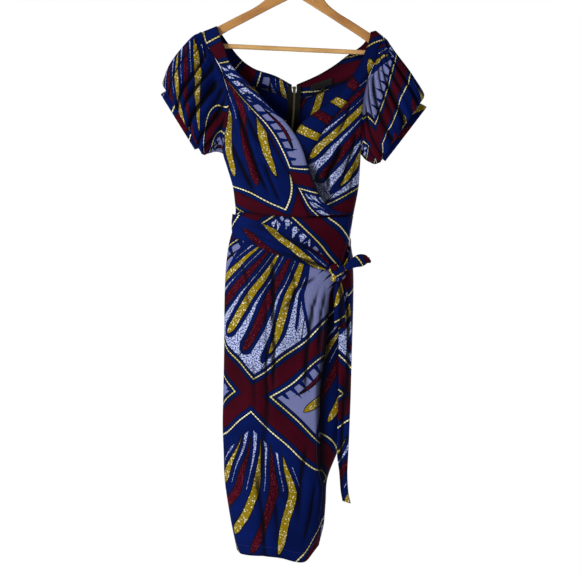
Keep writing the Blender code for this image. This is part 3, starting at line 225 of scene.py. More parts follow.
def ease(u):
    """0 to 1 with level ends."""
    u = np.clip(u, 0.0, 1.0)
    return u * u * (3 - 2 * u)


def body(z):
    """The body's section at each height."""
    read = smooth(-BODY[:, 0], BODY, -np.asarray(z, float))
    return BodyRow(*np.moveaxis(read, -1, 0))


def fold_depth(folds, t, z):
    """How far the skirt's long folds push the cloth inwards."""
    total = np.zeros_like(t)
    for fold in folds:
        u = np.minimum(np.abs(t - fold.t) / fold.half_width, 1.0)
        total += fold.depth * (0.5 + 0.5 * np.cos(np.pi * u))
    return total * ease((FOLD_TOP_Z - z) / (FOLD_TOP_Z - FOLD_FULL_Z))


def raw_point(angle, z):
    """On the body at an angle: 0 left seam, pi right seam, the front between, the back beyond."""
    angle, z = np.broadcast_arrays(np.asarray(angle, float), np.asarray(z, float))
    row = body(z)
    t = -np.cos(angle)
    front = np.sin(angle) >= 0
    bulge = np.maximum(1 - np.abs(t) ** SECTION_POWER, 0.0) ** row.roundness
    depth = row.armhole + (np.where(front, row.front, row.back) - row.armhole) * bulge
    folds = np.where(front, fold_depth(FRONT_FOLDS, t, z), fold_depth(BACK_FOLDS, t, z))
    depth = depth - folds * np.minimum(bulge, 1.0)
    x = (row.left + row.right) / 2 + (row.right - row.left) / 2 * t
    below = np.clip((np.interp(x, RIDGE_X, RIDGE_Z) - z) / SHOULDER_FOLD, 0.0, 1.0)
    depth = depth * (1 - (1 - below) ** 3) ** (1 / 3)
    return np.stack([x, np.where(front, -depth, depth), z], -1)


def furrow(away, ridge):
    """A trough of depth 1 with a low ridge on each side; ridge is its height and its distance."""
    high, beside = ridge
    return high * np.exp(-(away - beside) ** 2) - np.exp(-away ** 2)


def crease_height(creases, x, z):
    """How far the creases lift the cloth; a trough is below zero."""
    total = np.zeros_like(x)
    for crease in creases:
        path = np.array(crease.path)
        whole = lengths(path)
        nearest, place = np.full(x.shape, np.inf), np.zeros_like(x)
        for start, end, done in zip(path, path[1:], whole):
            step = end - start
            share = ((x - start[0]) * step[0] + (z - start[1]) * step[1]) / (step @ step)
            share = np.clip(share, 0.0, 1.0)
            away = np.hypot(x - start[0] - share * step[0], z - start[1] - share * step[1])
            nearer = away < nearest
            nearest = np.where(nearer, away, nearest)
            place = np.where(nearer, done + share * math.hypot(*step), place)
        rising, falling = CREASE_START * whole[-1], CREASE_END * whole[-1]
        fade = ease(place / rising) * ease((whole[-1] - place) / falling)
        total += crease.depth * MM * fade * furrow(nearest / (crease.width * MM), CREASE_RIDGE)
    return total


def rumple(x, z):
    """The slight unevenness of cloth that has been worn and hung."""
    return sum(MM * high * np.sin(a * x + b * z + c + 1.3 * np.sin(0.6 * b * x - 0.5 * a * z))
               for a, b, c, high in RUMPLES)


def body_point(angle, z, out=0.0, creased=True):
    """A point on the creased body, moved outwards along the surface's normal."""
    angle, z = np.broadcast_arrays(np.asarray(angle, float), np.asarray(z, float))
    point = raw_point(angle, z)
    half_turn = np.where(np.sin(angle) >= 0, np.pi, 2 * np.pi)
    middle = np.clip(angle, half_turn - np.pi + SLOPE_ANGLE, half_turn - SLOPE_ANGLE)
    across = raw_point(middle + SLOPE_ANGLE / 2, z) - raw_point(middle - SLOPE_ANGLE / 2, z)
    upward = raw_point(middle, z + SLOPE_HEIGHT) - raw_point(middle, z - SLOPE_HEIGHT)
    normal = unit(np.cross(across, upward))
    lift = np.zeros_like(z)
    if creased:
        front = np.sin(angle) >= 0
        x = point[..., 0]
        lift = np.where(front, crease_height(FRONT_CREASES, x, z), crease_height(BACK_CREASES, x, z))
        lift = (lift + rumple(x, z)) * ease((1 - np.abs(np.cos(angle))) / FLAT_AT_SIDE_T)
    return point + normal * (np.asarray(out) + lift)[..., None]


def angle_at(x, z, back=False):
    """The angle at which the body passes x at a height."""
    row = body(z)
    t = (x - (row.left + row.right) / 2) / ((row.right - row.left) / 2)
    angle = np.arccos(np.clip(-t, -1.0, 1.0))
    return 2 * np.pi - angle if back else angle


def waist_z(angle):
    """Height of the waist seam."""
    t = -np.cos(angle)
    return WAIST_Z - WAIST_DROP * (t + 1) / 2 - np.where(np.sin(angle) > 0, WAIST_SAG * (1 - t * t), 0.0)


def over_lift(angle):
    """How far the over front lies outside: nothing at its side seam, then the whole lap."""
    return LAP * ease((-np.cos(angle) - LAP_START_T) / LAP_REACH_T)


def no_lift(angle):
    """The cloth lies on the body itself."""
    return np.zeros_like(angle)


def side_seam(side, back=False):
    """The angle of a side seam and the armhole over it; a back piece keeps just off it."""
    if back:
        return 2 * np.pi - OFF_SEAM if side == "left" else np.pi + OFF_SEAM
    return 0.0 if side == "left" else np.pi


class Reading:
    """A number that the finish works out over the cloth, joined with others by plain sums."""

    def __init__(self, tree, source):
        self.tree, self.source = tree, source

    def made(self, operation, *others):
        node = self.tree.nodes.new("ShaderNodeMath")
        node.operation = operation
        for socket, value in zip(node.inputs, (self, *others)):
            if isinstance(value, Reading):
                self.tree.links.new(value.source, socket)
            else:
                socket.default_value = value
        return Reading(self.tree, node.outputs[0])

    def __add__(self, other):
        return self.made("ADD", other)

    def __sub__(self, other):
        return self.made("SUBTRACT", other)

    def __mul__(self, other):
        return self.made("MULTIPLY", other)

    def __truediv__(self, other):
        return self.made("DIVIDE", other)

    def above(self, other):
        return self.made("GREATER_THAN", other)

    def below(self, other):
        return self.made("LESS_THAN", other)

    def size(self):
        return self.made("ABSOLUTE")

    def chosen(self, one, other):
        """one where this is 0, other where it is 1."""
        return (one * -1 + other) * self + one

    def spread(self, low, high, start=0.0, end=1.0, kind="LINEAR"):
        """This number's range low to high made start to end."""
        node = self.tree.nodes.new("ShaderNodeMapRange")
        node.interpolation_type = kind
        self.tree.links.new(self.source, node.inputs["Value"])
        for name, value in (("From Min", low), ("From Max", high), ("To Min", start), ("To Max", end)):
            node.inputs[name].default_value = value
        return Reading(self.tree, node.outputs[0])


def new_finish(name, roughness, metallic=0.0, specular=0.5, sheen=0.0):
    """A finish with its tree and its shader."""
    made = bpy.data.materials.new(name)
    made.use_nodes = True
    shader = made.node_tree.nodes["Principled BSDF"]
    shader.inputs["Roughness"].default_value = roughness
    shader.inputs["Metallic"].default_value = metallic
    shader.inputs["Specular IOR Level"].default_value = specular
    shader.inputs["Sheen Weight"].default_value = sheen
    return made, made.node_tree, shader


def texture(tree, kind, place, scale, result, **values):
    """A procedural texture's reading, at a place in metres and a scale per metre."""
    node = tree.nodes.new(f"ShaderNodeTex{kind}")
    tree.links.new(place, node.inputs["Vector"])
    node.inputs["Scale"].default_value = scale
    for name, value in values.items():
        node.inputs[name].default_value = value
    return Reading(tree, node.outputs[result])


def layered(tree, under, over, share):
    """The over colour laid on the under colour where share is 1."""
    node = tree.nodes.new("ShaderNodeMix")
    node.data_type = "RGBA"
    for socket, value in ((node.inputs[6], under), (node.inputs[7], over)):
        if isinstance(value, tuple):
            socket.default_value = (*value, 1.0)
        else:
            tree.links.new(value, socket)
    tree.links.new(share.source, node.inputs[0])
    return node.outputs[2]


def object_place(tree):
    """Where a point lies on its object, in metres."""
    return tree.nodes.new("ShaderNodeTexCoord").outputs["Object"]


def coloured(tree, shader, colour):
    """Give a finish its colour."""
    tree.links.new(colour, shader.inputs["Base Color"])


def bump(tree, shader, height, strength, distance):
    """Surface relief from a height reading of 0 to 1."""
    node = tree.nodes.new("ShaderNodeBump")
    node.inputs["Strength"].default_value = strength
    node.inputs["Distance"].default_value = distance
    tree.links.new(height.source, node.inputs["Height"])
    tree.links.new(node.outputs[0], shader.inputs["Normal"])


def attribute_of(tree, name):
    """A number kept on the points of a mesh."""
    node = tree.nodes.new("ShaderNodeAttribute")
    node.attribute_name = name
    return node.outputs["Fac"]


def cloth_place(tree):
    """Where a point lies on the cloth as it was printed, in metres."""
    node = tree.nodes.new("ShaderNodeUVMap")
    node.uv_map = "cut"
    parts = tree.nodes.new("ShaderNodeSeparateXYZ")
    tree.links.new(node.outputs[0], parts.inputs[0])
    return node.outputs[0], Reading(tree, parts.outputs[0]), Reading(tree, parts.outputs[1])


# The print: diamonds in half drop between burgundy bands, each edged with a dashed line and
# holding a fan of leaves. Two rows of diamonds in four have a pale stippled ground. In metres,
# with turns in radians and the textures' scales per metre. LINE is the width of a dark outline.
DIAMOND_WIDTH, DIAMOND_HEIGHT, SIDE_SLOPE = 0.500, 0.430, 0.94
DRIFT, SWAY = 0.020, 0.040
BAND_HALF_WIDTH, BAND_LINE = 0.0150, 0.0018
DASH_AT, DASH_HALF_WIDTH, DASH_LENGTH, DASH_LINE, DASH_GAP = 0.0262, 0.0013, 0.0092, 0.0022, 0.20
GROUND_EDGE, GROUND_LINE = 0.0350, 0.0016
FAN_TOP, FAN_MIDDLE, FAN_TWIST = 0.240, 0.20, 1.5
LEAF_TURN = 0.166
LEAF_HALF_WIDTH, LEAF_SWELL, LEAF_LINE = 0.0085, (0.110, 0.250), 0.0023
LEAF_ENDS, LEAF_REACH = (0.052, 0.070), 0.42
LEAF_LINE_EDGE, LEAF_LINE_START = 0.0495, 0.114
HALO_WIDTH, HALO_ENDS, HALO_REACH, HALO_LINE = 0.0090, (0.0440, 0.0610), 0.46, 0.0013
PANEL_TOOTH_PITCH, PANEL_TOOTH, PANEL_TOOTH_SLOPE = 0.031, 0.031, 0.140
PANEL_TOOTH_SHIFT, PANEL_TOOTH_MIDDLE = 0.21, 0.42
SLIVER_RUN, SLIVER_WIDTH, SLIVER_EDGE, SLIVER_END = (0.105, 0.195), (0.0034, 0.0004), 0.055, 0.225
CORNER_AT, CORNER_LINE, CORNER_SLOPE = 0.098, 0.007, 0.25
HATCH_PITCH = 0.0021
GOLD_SPECKS, RED_SPECKS, STIPPLE = 300.0, 330.0, 330.0
GOLD_SPECK_SIZE, RED_SPECK_SIZE, STIPPLE_SHARE = 0.50, 0.26, (0.44, 0.55)
THREADS = 3900.0
# Painted shade: a near-black laid over the print in fold troughs, in the painted shadows beside the free
# edges of the wraps, and near seams; its largest share, and its share at a seam.
PAINTED_SHADE_COLOUR, DARKEST_PAINTED_SHADE, SEWN_SHADE = (0.0010, 0.0012, 0.0034), 0.93, 0.55
BLUE, DEEP_BLUE = (0.0008, 0.0074, 0.0860), (0.0004, 0.0036, 0.0400)
BURGUNDY, DEEP_BURGUNDY = (0.0560, 0.0010, 0.0088), (0.0270, 0.0006, 0.0044)
RED_SPECK = (0.1700, 0.0190, 0.0380)
GOLD, DASH_GOLD, CREAM = (0.2150, 0.1480, 0.0030), (0.4900, 0.4200, 0.1400), (0.7600, 0.7200, 0.5000)
PALE, PALE_SPECK = (0.4700, 0.5200, 0.7500), (0.0400, 0.0560, 0.1900)
LAVENDER, LAVENDER_HATCH = (0.2000, 0.2150, 0.4000), (0.0750, 0.0880, 0.2200)
BLACK = (0.0035, 0.0035, 0.0060)


def wax_print():
    """Printed cotton: the colours in the cloth with a painted shade in its folds, gaps and seams, its plain
    weave and the puckers at its seams.

    Each shape of the print is a reading of 0 or 1, and edge is the distance inside a diamond.
    """
    made, tree, shader = new_finish("wax_print_cotton", 0.74, specular=0.035, sheen=0.004)
    shader.inputs["Sheen Roughness"].default_value = 0.45
    place, u, v = cloth_place(tree)
    drift = texture(tree, "Noise", place, 8.0, "Fac", Detail=1.0)
    sway = texture(tree, "Noise", place, 5.0, "Fac", Detail=1.0, Lacunarity=2.7)
    u, v = u + (drift - 0.5) * DRIFT, v + (sway - 0.5) * SWAY

    across, down = u / DIAMOND_WIDTH, v / DIAMOND_HEIGHT
    column, row = (across + 0.5).made("FLOOR"), (down + 0.5).made("FLOOR")
    a, b = across - column, down - row
    between = (a.size() + b.size()).above(0.5)
    a = a - a.made("SIGN") * between * 0.5
    b = b - b.made("SIGN") * between * 0.5
    p, q = a * DIAMOND_WIDTH, b * DIAMOND_HEIGHT
    steepness = math.hypot(1 / DIAMOND_WIDTH, 1 / DIAMOND_HEIGHT)
    edge = (a.size() + b.size()) * (-1 / steepness) + 0.5 / steepness
    pale_row = between.chosen(row * 0.5, down.made("FLOOR") * 0.5 + 0.5)
    pale = pale_row.made("FRACT").below(0.25)

    low = q * -1 + FAN_TOP
    reach = (p * p + low * low).made("SQRT")
    turned = p.made("ARCTAN2", low) + (reach - FAN_MIDDLE) * FAN_TWIST
    leaf = (turned / LEAF_TURN + 0.5).made("FLOOR")
    aside = (turned - leaf * LEAF_TURN).size() * reach
    odd = (leaf * 0.5).made("FRACT").above(0.25)
    swell = reach.spread(*LEAF_SWELL, kind="SMOOTHSTEP") * LEAF_HALF_WIDTH
    leaf_end = edge.spread(*LEAF_ENDS).made("SQRT") * turned.below(LEAF_REACH)
    halo_end = edge.spread(*HALO_ENDS).made("SQRT") * turned.below(HALO_REACH)
    from_leaf = swell * leaf_end - aside
    from_halo = (swell + HALO_WIDTH) * halo_end - aside
    in_leaf = from_leaf.above(0.0)
    outlined = from_leaf.above(-LEAF_LINE) * edge.above(LEAF_LINE_EDGE) * reach.above(LEAF_LINE_START)
    outlined = (outlined - in_leaf) * turned.below(LEAF_REACH)
    in_halo = from_halo.above(0.0)

    spread_along = p.size() + q.size() * -SIDE_SLOPE
    tooth = (spread_along / PANEL_TOOTH_PITCH + p.made("SIGN") * PANEL_TOOTH_SHIFT).made("FRACT")
    tooth_edge = (tooth - PANEL_TOOTH_MIDDLE).size() * -PANEL_TOOTH_SLOPE + PANEL_TOOTH
    teeth = q.above(0.0) * tooth_edge.made("MAXIMUM", 0.0)
    on_ground = (edge - GROUND_EDGE - teeth).above(0.0)
    from_corner = p.size() - CORNER_AT + q * CORNER_SLOPE
    corner = from_corner.above(0.0) * on_ground * pale
    corner_line = from_corner.above(-CORNER_LINE) * on_ground * pale - corner

    gap_aside = (aside - reach * (LEAF_TURN / 2)).size()
    sliver = reach.spread(*SLIVER_RUN, *SLIVER_WIDTH) - gap_aside
    sliver = sliver.above(0.0) * edge.above(SLIVER_EDGE) * reach.below(SLIVER_END) * (pale * -1 + 1)

    dash_run = (spread_along / DASH_LENGTH).made("FRACT").above(DASH_GAP)
    from_dash = (edge - DASH_AT).size()
    dash = from_dash.below(DASH_HALF_WIDTH) * dash_run
    dash_edge = from_dash.below(DASH_HALF_WIDTH + DASH_LINE)
    in_band = edge.below(BAND_HALF_WIDTH)
    band_edge = edge.below(BAND_HALF_WIDTH + BAND_LINE) - in_band
    ground_line = (edge - GROUND_EDGE + GROUND_LINE - teeth).above(0.0)
    halo_line = from_halo.above(-HALO_LINE) * on_ground

    speck, size = (texture(tree, "Voronoi", place, GOLD_SPECKS, result, Randomness=1.0)
                   for result in ("Distance", "Color"))
    gold_speck = (size * GOLD_SPECK_SIZE - speck - 0.01).above(0.0)
    fine = texture(tree, "Voronoi", place, RED_SPECKS, "Distance", Randomness=1.0)
    red_speck = (fine * -1 + RED_SPECK_SIZE).above(0.0)
    stipple = texture(tree, "Noise", place, STIPPLE, "Fac", Detail=2.5)
    hatch = (u / HATCH_PITCH).made("FRACT").above(0.5)
    shade = texture(tree, "Noise", place, 13.0, "Fac", Detail=3.0)

    blue = layered(tree, DEEP_BLUE, BLUE, shade.spread(0.25, 0.75))
    burgundy = layered(tree, DEEP_BURGUNDY, BURGUNDY, shade.spread(0.30, 0.80))
    specked_red = layered(tree, burgundy, RED_SPECK, red_speck)
    gold = layered(tree, GOLD, CREAM, gold_speck)
    pale_colour = layered(tree, PALE, PALE_SPECK, stipple.spread(*STIPPLE_SHARE))
    lavender = layered(tree, LAVENDER, LAVENDER_HATCH, hatch)
    dash_gold = layered(tree, DASH_GOLD, CREAM, shade.spread(0.40, 0.56))
    leaf_colour = layered(tree, gold, specked_red, odd)
    # Painted shade: the trough attribute darkens fold troughs and the gaps by the free edges, and closeness
    # to a seam darkens the cloth beside it.
    near, trough = (Reading(tree, attribute_of(tree, label)) for label in ("sewn", "trough"))
    painted_shade = trough * DARKEST_PAINTED_SHADE + near * near * near * SEWN_SHADE

    colour = blue
    for over, where in (
            (burgundy, in_band), (BLACK, band_edge), (BLACK, dash_edge), (dash_gold, dash),
            (BLACK, ground_line * pale), (pale_colour, on_ground * pale), (BLACK, halo_line * pale),
            (blue, in_halo.made("MAXIMUM", corner_line) * pale), (lavender, corner),
            (pale_colour, sliver), (BLACK, outlined.made("MAXIMUM", 0.0)), (leaf_colour, in_leaf),
            (PAINTED_SHADE_COLOUR, painted_shade.made("MINIMUM", DARKEST_PAINTED_SHADE))):
        colour = layered(tree, colour, over, where)
    coloured(tree, shader, colour)

    warp = (u * THREADS).made("SINE")
    weft = (v * THREADS).made("SINE")
    weave = warp * weft * 0.5 + 0.5
    slub = texture(tree, "Noise", place, 260.0, "Fac", Detail=2.0)
    worn = texture(tree, "Noise", place, 60.0, "Fac", Detail=3.0, Distortion=0.6)
    pucker = (worn - 0.5) * near * 2.2
    bump(tree, shader, weave * 0.12 + slub * 0.30 + worn * 0.5 + pucker, 0.55, 0.0011)
    return made


WAX_PRINT = wax_print()


def measured(grid, width_scale=1.0):
    """Flat places of a grid's points: across from its middle column, and down from its top row."""
    across = lengths(grid.transpose(1, 0, 2)).T
    middle = grid.shape[1] // 2
    across = (across - across[:, middle:middle + 1]) * width_scale
    down = lengths(grid[:, middle])
    return np.stack([across, np.repeat(-down[:, None], grid.shape[1], axis=1)], -1)


def laid(flat, turn, origin):
    """Flat places turned by degrees and moved to where the piece was cut from the printed cloth."""
    cosine, sine = math.cos(math.radians(turn)), math.sin(math.radians(turn))
    turned = np.stack([flat[..., 0] * cosine - flat[..., 1] * sine,
                       flat[..., 0] * sine + flat[..., 1] * cosine], -1)
    return turned + np.asarray(origin)


def sewn_near(grid, edges, reach=0.012):
    """1 at the named edges of a grid, fading to 0 at a short way from them."""
    near = np.zeros(grid.shape[:2])
    for name in edges:
        turned = {"top": grid, "bottom": grid[::-1], "left": grid.transpose(1, 0, 2),
                  "right": grid[:, ::-1].transpose(1, 0, 2)}[name]
        closeness = 1 - ease(lengths(turned) / reach)
        back = {"top": closeness, "bottom": closeness[::-1], "left": closeness.T,
                "right": closeness.T[:, ::-1]}[name]
        near = np.maximum(near, back)
    return near


def hollows(grid, reach=0.0060, deep=0.0008):
    """1 where a fold's trough lies as deep as this below the cloth around it, 0 on the open cloth; the print
    paints its shade by this.
    """
    normal = np.cross(np.gradient(grid, axis=0), np.gradient(grid, axis=1))
    normal /= np.linalg.norm(normal, axis=2, keepdims=True) + 1e-12
    level = grid
    for axis in (0, 1):
        step = np.linalg.norm(np.diff(level, axis=axis), axis=2).mean()
        wide = min(int(2.5 * reach / step) + 1, grid.shape[axis] - 1)
        share = np.exp(-0.5 * (np.arange(-wide, wide + 1) * step / reach) ** 2)
        share /= share.sum()
        margin = [(0, 0)] * 3
        margin[axis] = (wide, wide)
        padded = np.pad(level, margin, "reflect", reflect_type="odd")
        level = sum(weight * np.take(padded, np.arange(grid.shape[axis]) + k, axis)
                    for k, weight in enumerate(share))
    return np.clip(np.sum((level - grid) * normal, axis=2) / deep, 0.0, 1.0)


def in_scene(name, data):
    """An object in the scene with a mesh, curve, lamp or camera as its data."""
    made = bpy.data.objects.new(name, data)
    bpy.context.scene.collection.objects.link(made)
    return made


def shell(name, grid, flat, wall=CLOTH_WALL, sewn=(), finish=WAX_PRINT, tube=False, shade=0.0):
    """A cloth piece as a thin shell through a grid of points; its trough attribute holds painted shade for
    its folds, and shade adds painted shadow.
    """
    rows, columns = grid.shape[:2]
    near = sewn_near(grid, sewn) if sewn else np.zeros((rows, columns))
    # Painted shade: printed pieces keep how deep their fold troughs lie, with the given shade, as the trough
    # attribute that darkens the print.
    trough = hollows(grid) if finish is WAX_PRINT else np.zeros((rows, columns))
    trough = np.maximum(trough, shade)
    index = np.arange(rows * columns).reshape(rows, columns)
    if tube:
        index = np.concatenate([index, index[:, :1]], axis=1)
        flat = np.concatenate([flat, flat[:, :1] + (flat[:, -1:] - flat[:, -2:-1]) +
                               (flat[:, -1:] - flat[:, :1])], axis=1)
    faces = np.stack([index[:-1, :-1], index[1:, :-1], index[1:, 1:], index[:-1, 1:]], -1)
    corners = np.stack([flat[:-1, :-1], flat[1:, :-1], flat[1:, 1:], flat[:-1, 1:]], -2)
    mesh = bpy.data.meshes.new(name)
    mesh.from_pydata(grid.reshape(-1, 3), [], faces.reshape(-1, 4).tolist())
    cut = mesh.uv_layers.new(name="cut")
    cut.data.foreach_set("uv", corners.reshape(-1).astype(np.float32))
    for label, values in (("sewn", near), ("trough", trough)):
        attribute = mesh.attributes.new(label, "FLOAT", "POINT")
        attribute.data.foreach_set("value", values.reshape(-1).astype(np.float32))
    mesh.shade_smooth()
    mesh.materials.append(finish)
    piece = in_scene(name, mesh)
    if wall:
        solid = piece.modifiers.new("wall", "SOLIDIFY")
        solid.thickness = wall
        solid.offset = 0.0
    return piece


def printed(name, grid, turn, origin, wall=CLOTH_WALL, fullness=1.0, **how):
    """A piece cut from the printed cloth: its cut is turned by degrees and moved to an origin."""
    return shell(name, grid, laid(measured(grid, fullness), turn, origin), wall, **how)


def dipped(out, u):
    """A seam pulls the cloth in a little on each side of itself; u is the share of the way across."""
    return out - SEAM_DIP * (np.exp(-(u / SEAM_DIP_REACH) ** 2) + np.exp(-((1 - u) / SEAM_DIP_REACH) ** 2))


def dipped_at_side(angle, z, u):
    """The same at a piece's side seam only."""
    return dipped(0.0, u) * (u < 0.5)


def shoulder_places(side, lowest_z, steps=40):
    """(angle, z) down the band's outer seam, from the ridge to where the armhole leaves it."""
    section = body(SHOULDER_SECTION_Z[side])
    ridge = np.interp(section.left if side == "left" else section.right, RIDGE_X, RIDGE_Z)
    shares = np.interp(np.linspace(0, 6, steps + 1), range(7), SHOULDER_SHARES)
    return np.full(steps + 1, side_seam(side)), ridge + (lowest_z - ridge) * shares


def front_seam(side, seam, steps, fine_steps=600):
    """Evenly lower places down the band's seam, as shares of the way from armhole top to waist."""
    top_z = ARMHOLE_TOP_Z[side]
    fine = along(seam, np.linspace(0, 1, fine_steps))
    angle = angle_at(fine[:, 0], fine[:, 1])
    reached = (fine[:, 1] - top_z) / (waist_z(angle) - top_z)
    shares = np.linspace(0, 1, steps + 1)
    x, z = np.interp(shares, reached, fine[:, 0]), np.interp(shares, reached, fine[:, 1])
    return top_z, shares, angle_at(x, z), z


def front_grid(side, seam, lift, steps=56, rows=88):
    """A bodice front from its armhole and side seam to the band's seam."""
    top_z, shares, seam_angle, _ = front_seam(side, seam, rows)
    start = side_seam(side)
    u = np.linspace(0, 1, steps + 1)
    angle = start + (seam_angle[1:, None] - start) * u
    z = top_z + (waist_z(angle) - top_z) * shares[1:, None]
    return body_point(angle, z, dipped(lift(angle), u[None, :]))


def wrap_shade(grid):
    """The painted shadow in the gap beside the upper front's free edge, deeper and wider towards the waist.
    """
    down = -grid[..., 2]
    edge_x = np.interp(down, [-z for _, z in LEFT_INNER], [x for x, _ in LEFT_INNER])
    reach = np.interp(down, WRAP_SHADE_Z, WRAP_SHADE_REACH)
    gone = ease((grid[..., 0] - edge_x - WRAP_SHADE_FULL * reach) / ((1 - WRAP_SHADE_FULL) * reach))
    return np.interp(down, WRAP_SHADE_Z, WRAP_SHADE) * (1 - gone)


left_front = front_grid("left", LEFT_SEAM, over_lift)
right_front = front_grid("right", RIGHT_SEAM, no_lift)[:, ::-1]
for side, grid, turn, origin, size, shade in (
        ("left", left_front, -20, (0.291, 0.318), (0.20, 0.32), 0.0),
        ("right", right_front, 15, (-0.031, 0.116), (0.19, 0.33), wrap_shade(right_front))):
    piece = printed(f"front_{side}_cloth", grid, turn, origin, sewn=("left", "right", "bottom"), shade=shade)
    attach(piece, "dress")
    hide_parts(f"bodice_front_{side}")

# ==================================================================== bodice backs
# Two backs, sewn to the fronts at the side seams and left open at the centre back, where the zip
# joins them. They hang with slanting creases like those of the fronts.
CENTRE_BACK_T = -0.03
ZIP_OPENING = 0.0050
COLUMN_ROUNDS = 12
CENTRE_ANGLE = 2 * math.pi - math.acos(-CENTRE_BACK_T)
BACK_LEFT_SEAM = ((-0.1603, -0.262), (-0.1208, -0.288), (-0.0858, -0.301), (-0.0408, -0.315),
                  (-0.0138, -0.331))
BACK_RIGHT_SEAM = ((0.1542, -0.262), (0.1242, -0.277), (0.0892, -0.294), (0.0492, -0.311),
                   (-0.0028, -0.331))


def beside_zip(row, side, half_gap):
    """Move centre back points to their side of the zip."""
    centre = raw_point(CENTRE_ANGLE, row[..., 2])[..., 0]
    row[..., 0] = centre - half_gap if side == "left" else centre + half_gap


def back_columns(side, seam, steps):
    """(angle, z) of the back's columns along the band's seam, from the armhole to the zip."""
    start_z = BACK_ARMHOLE_TOP_Z[side]
    angle = np.linspace(side_seam(side, back=True), CENTRE_ANGLE, steps + 1)
    seam = np.array(seam)
    keys = np.abs(seam[:, 0] - seam[0, 0])
    z = np.full(steps + 1, start_z)
    for _ in range(COLUMN_ROUNDS):
        x = raw_point(angle, z)[:, 0]
        z = smooth(keys, seam[:, 1], np.abs(x - seam[0, 0]))
    z[0] = start_z
    return angle, z


def back_grid(side, seam, steps=44, rows=88):
    """A bodice back from the band's seam to the waist."""
    angle, seam_z = back_columns(side, seam, steps)
    u = np.linspace(0, 1, rows + 1)[:, None]
    z = seam_z + (waist_z(angle) - seam_z) * u
    across = np.linspace(0, 1, steps + 1)[None, :]
    grid = body_point(np.broadcast_to(angle, z.shape), z, dipped_at_side(angle, z, across))
    beside_zip(grid[:, -1], side, ZIP_OPENING)
    return grid


left_back = back_grid("left", BACK_LEFT_SEAM)
right_back = back_grid("right", BACK_RIGHT_SEAM)[:, ::-1]
for side, grid, turn, origin in (("left", left_back, 4, (0.30, 0.20)),
                                 ("right", right_back, -3, (0.12, 0.42))):
    piece = printed(f"back_{side}_cloth", grid, turn, origin, sewn=("left", "right", "top", "bottom"))
    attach(piece, "dress")
    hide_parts(f"bodice_back_{side}")

# ==================================================================== neck bands
# Four wide doubled bands round the off-shoulder neckline. Front and back bands meet over the
# hanger's arms, where the band folds, and the left front band runs down over the right one.
BAND_WALL = 0.0017
BAND_PUFF, BAND_SEAM_DIP, BAND_DIP_REACH = 0.0009, 0.0008, 0.06
BAND_STEP = 0.0030
RIDGE_GAP = 0.0012
RIDGE_REACH = 0.035
RIGHT_INNER = ((0.1512, -0.1886), (0.1462, -0.210), (0.1332, -0.243), (0.1142, -0.277),
               (0.0802, -0.323), (0.0462, -0.348), (0.0062, -0.381), (-0.0178, -0.432),
               (-0.0338, -0.485), (-0.0458, -0.535), (-0.0538, -0.571))
BACK_LEFT_INNER = ((-0.1688, -0.1753), (-0.1468, -0.208), (-0.1168, -0.244), (-0.0908, -0.262),
                   (-0.0468, -0.277), (-0.0138, -0.295))
BACK_RIGHT_INNER = ((0.1512, -0.1886), (0.1342, -0.213), (0.1012, -0.236), (0.0772, -0.254),
                    (0.0422, -0.275), (-0.0028, -0.295))


def evenly(points, step):
    """The same path with points at an even step, measured on its first two columns."""
    keys = lengths(points[:, :2])
    steps = np.linspace(0, keys[-1], int(keys[-1] / step) + 1)
    return np.stack([np.interp(steps, keys, column) for column in points.T], -1)


def band_grid(angle, z, inner, back, lift, across=40):
    """Rows across a neck band from its seam, through (angle, z) points, to its free edge."""
    seam = raw_point(angle, z)
    path = evenly(np.stack([seam[:, 0], z, angle], -1), BAND_STEP)
    x, z, angle = path.T
    reach = lengths(path[:, :2])
    edge = along(inner, reach / reach[-1])
    near_ridge = (1 - ease(reach / RIDGE_REACH))[:, None]
    u = np.linspace(0, 1, across + 1)[None, :]
    places_x = x[:, None] + (edge[:, :1] - x[:, None]) * u
    places_z = z[:, None] + (edge[:, 1:] - z[:, None]) * u
    level = z[0] + (inner[0][1] - z[0]) * u
    over = x[0] + (inner[0][0] - x[0]) * u
    places_z = places_z + (np.interp(over, RIDGE_X, RIDGE_Z) - level) * near_ridge
    nearest, furthest = sorted((side_seam("left", back), side_seam("right", back)))
    places_angle = np.clip(angle_at(places_x, places_z, back), nearest, furthest)
    puffed = BAND_PUFF * np.sin(np.pi * u) ** 0.6 - BAND_SEAM_DIP * np.exp(-(u / BAND_DIP_REACH) ** 2)
    return body_point(places_angle, places_z, lift(places_angle) + puffed)


def drawn_back(grid, gap):
    """A grid whose first row is drawn back from the piece that it meets."""
    moved = grid.copy()
    moved[0] = grid[0] + unit(grid[1] - grid[0]) * gap
    return moved


def front_band(side, seam, inner, lift):
    """The neck band of one front."""
    top_z, _, seam_angle, seam_z = front_seam(side, seam, 60)
    angle, z = shoulder_places(side, top_z)
    return drawn_back(band_grid(np.concatenate([angle[:-1], seam_angle]),
                                np.concatenate([z[:-1], seam_z]), inner, False, lift), RIDGE_GAP)


def back_band(side, seam, inner):
    """The neck band of one back."""
    angle, z = shoulder_places(side, BACK_ARMHOLE_TOP_Z[side])
    columns_angle, columns_z = back_columns(side, seam, 44)
    start = np.full(len(angle) - 1, side_seam(side, back=True))
    grid = band_grid(np.concatenate([start, columns_angle]), np.concatenate([z[:-1], columns_z]),
                     inner, True, no_lift)
    beside_zip(grid[-1], side, ZIP_OPENING)
    return drawn_back(grid, RIDGE_GAP)


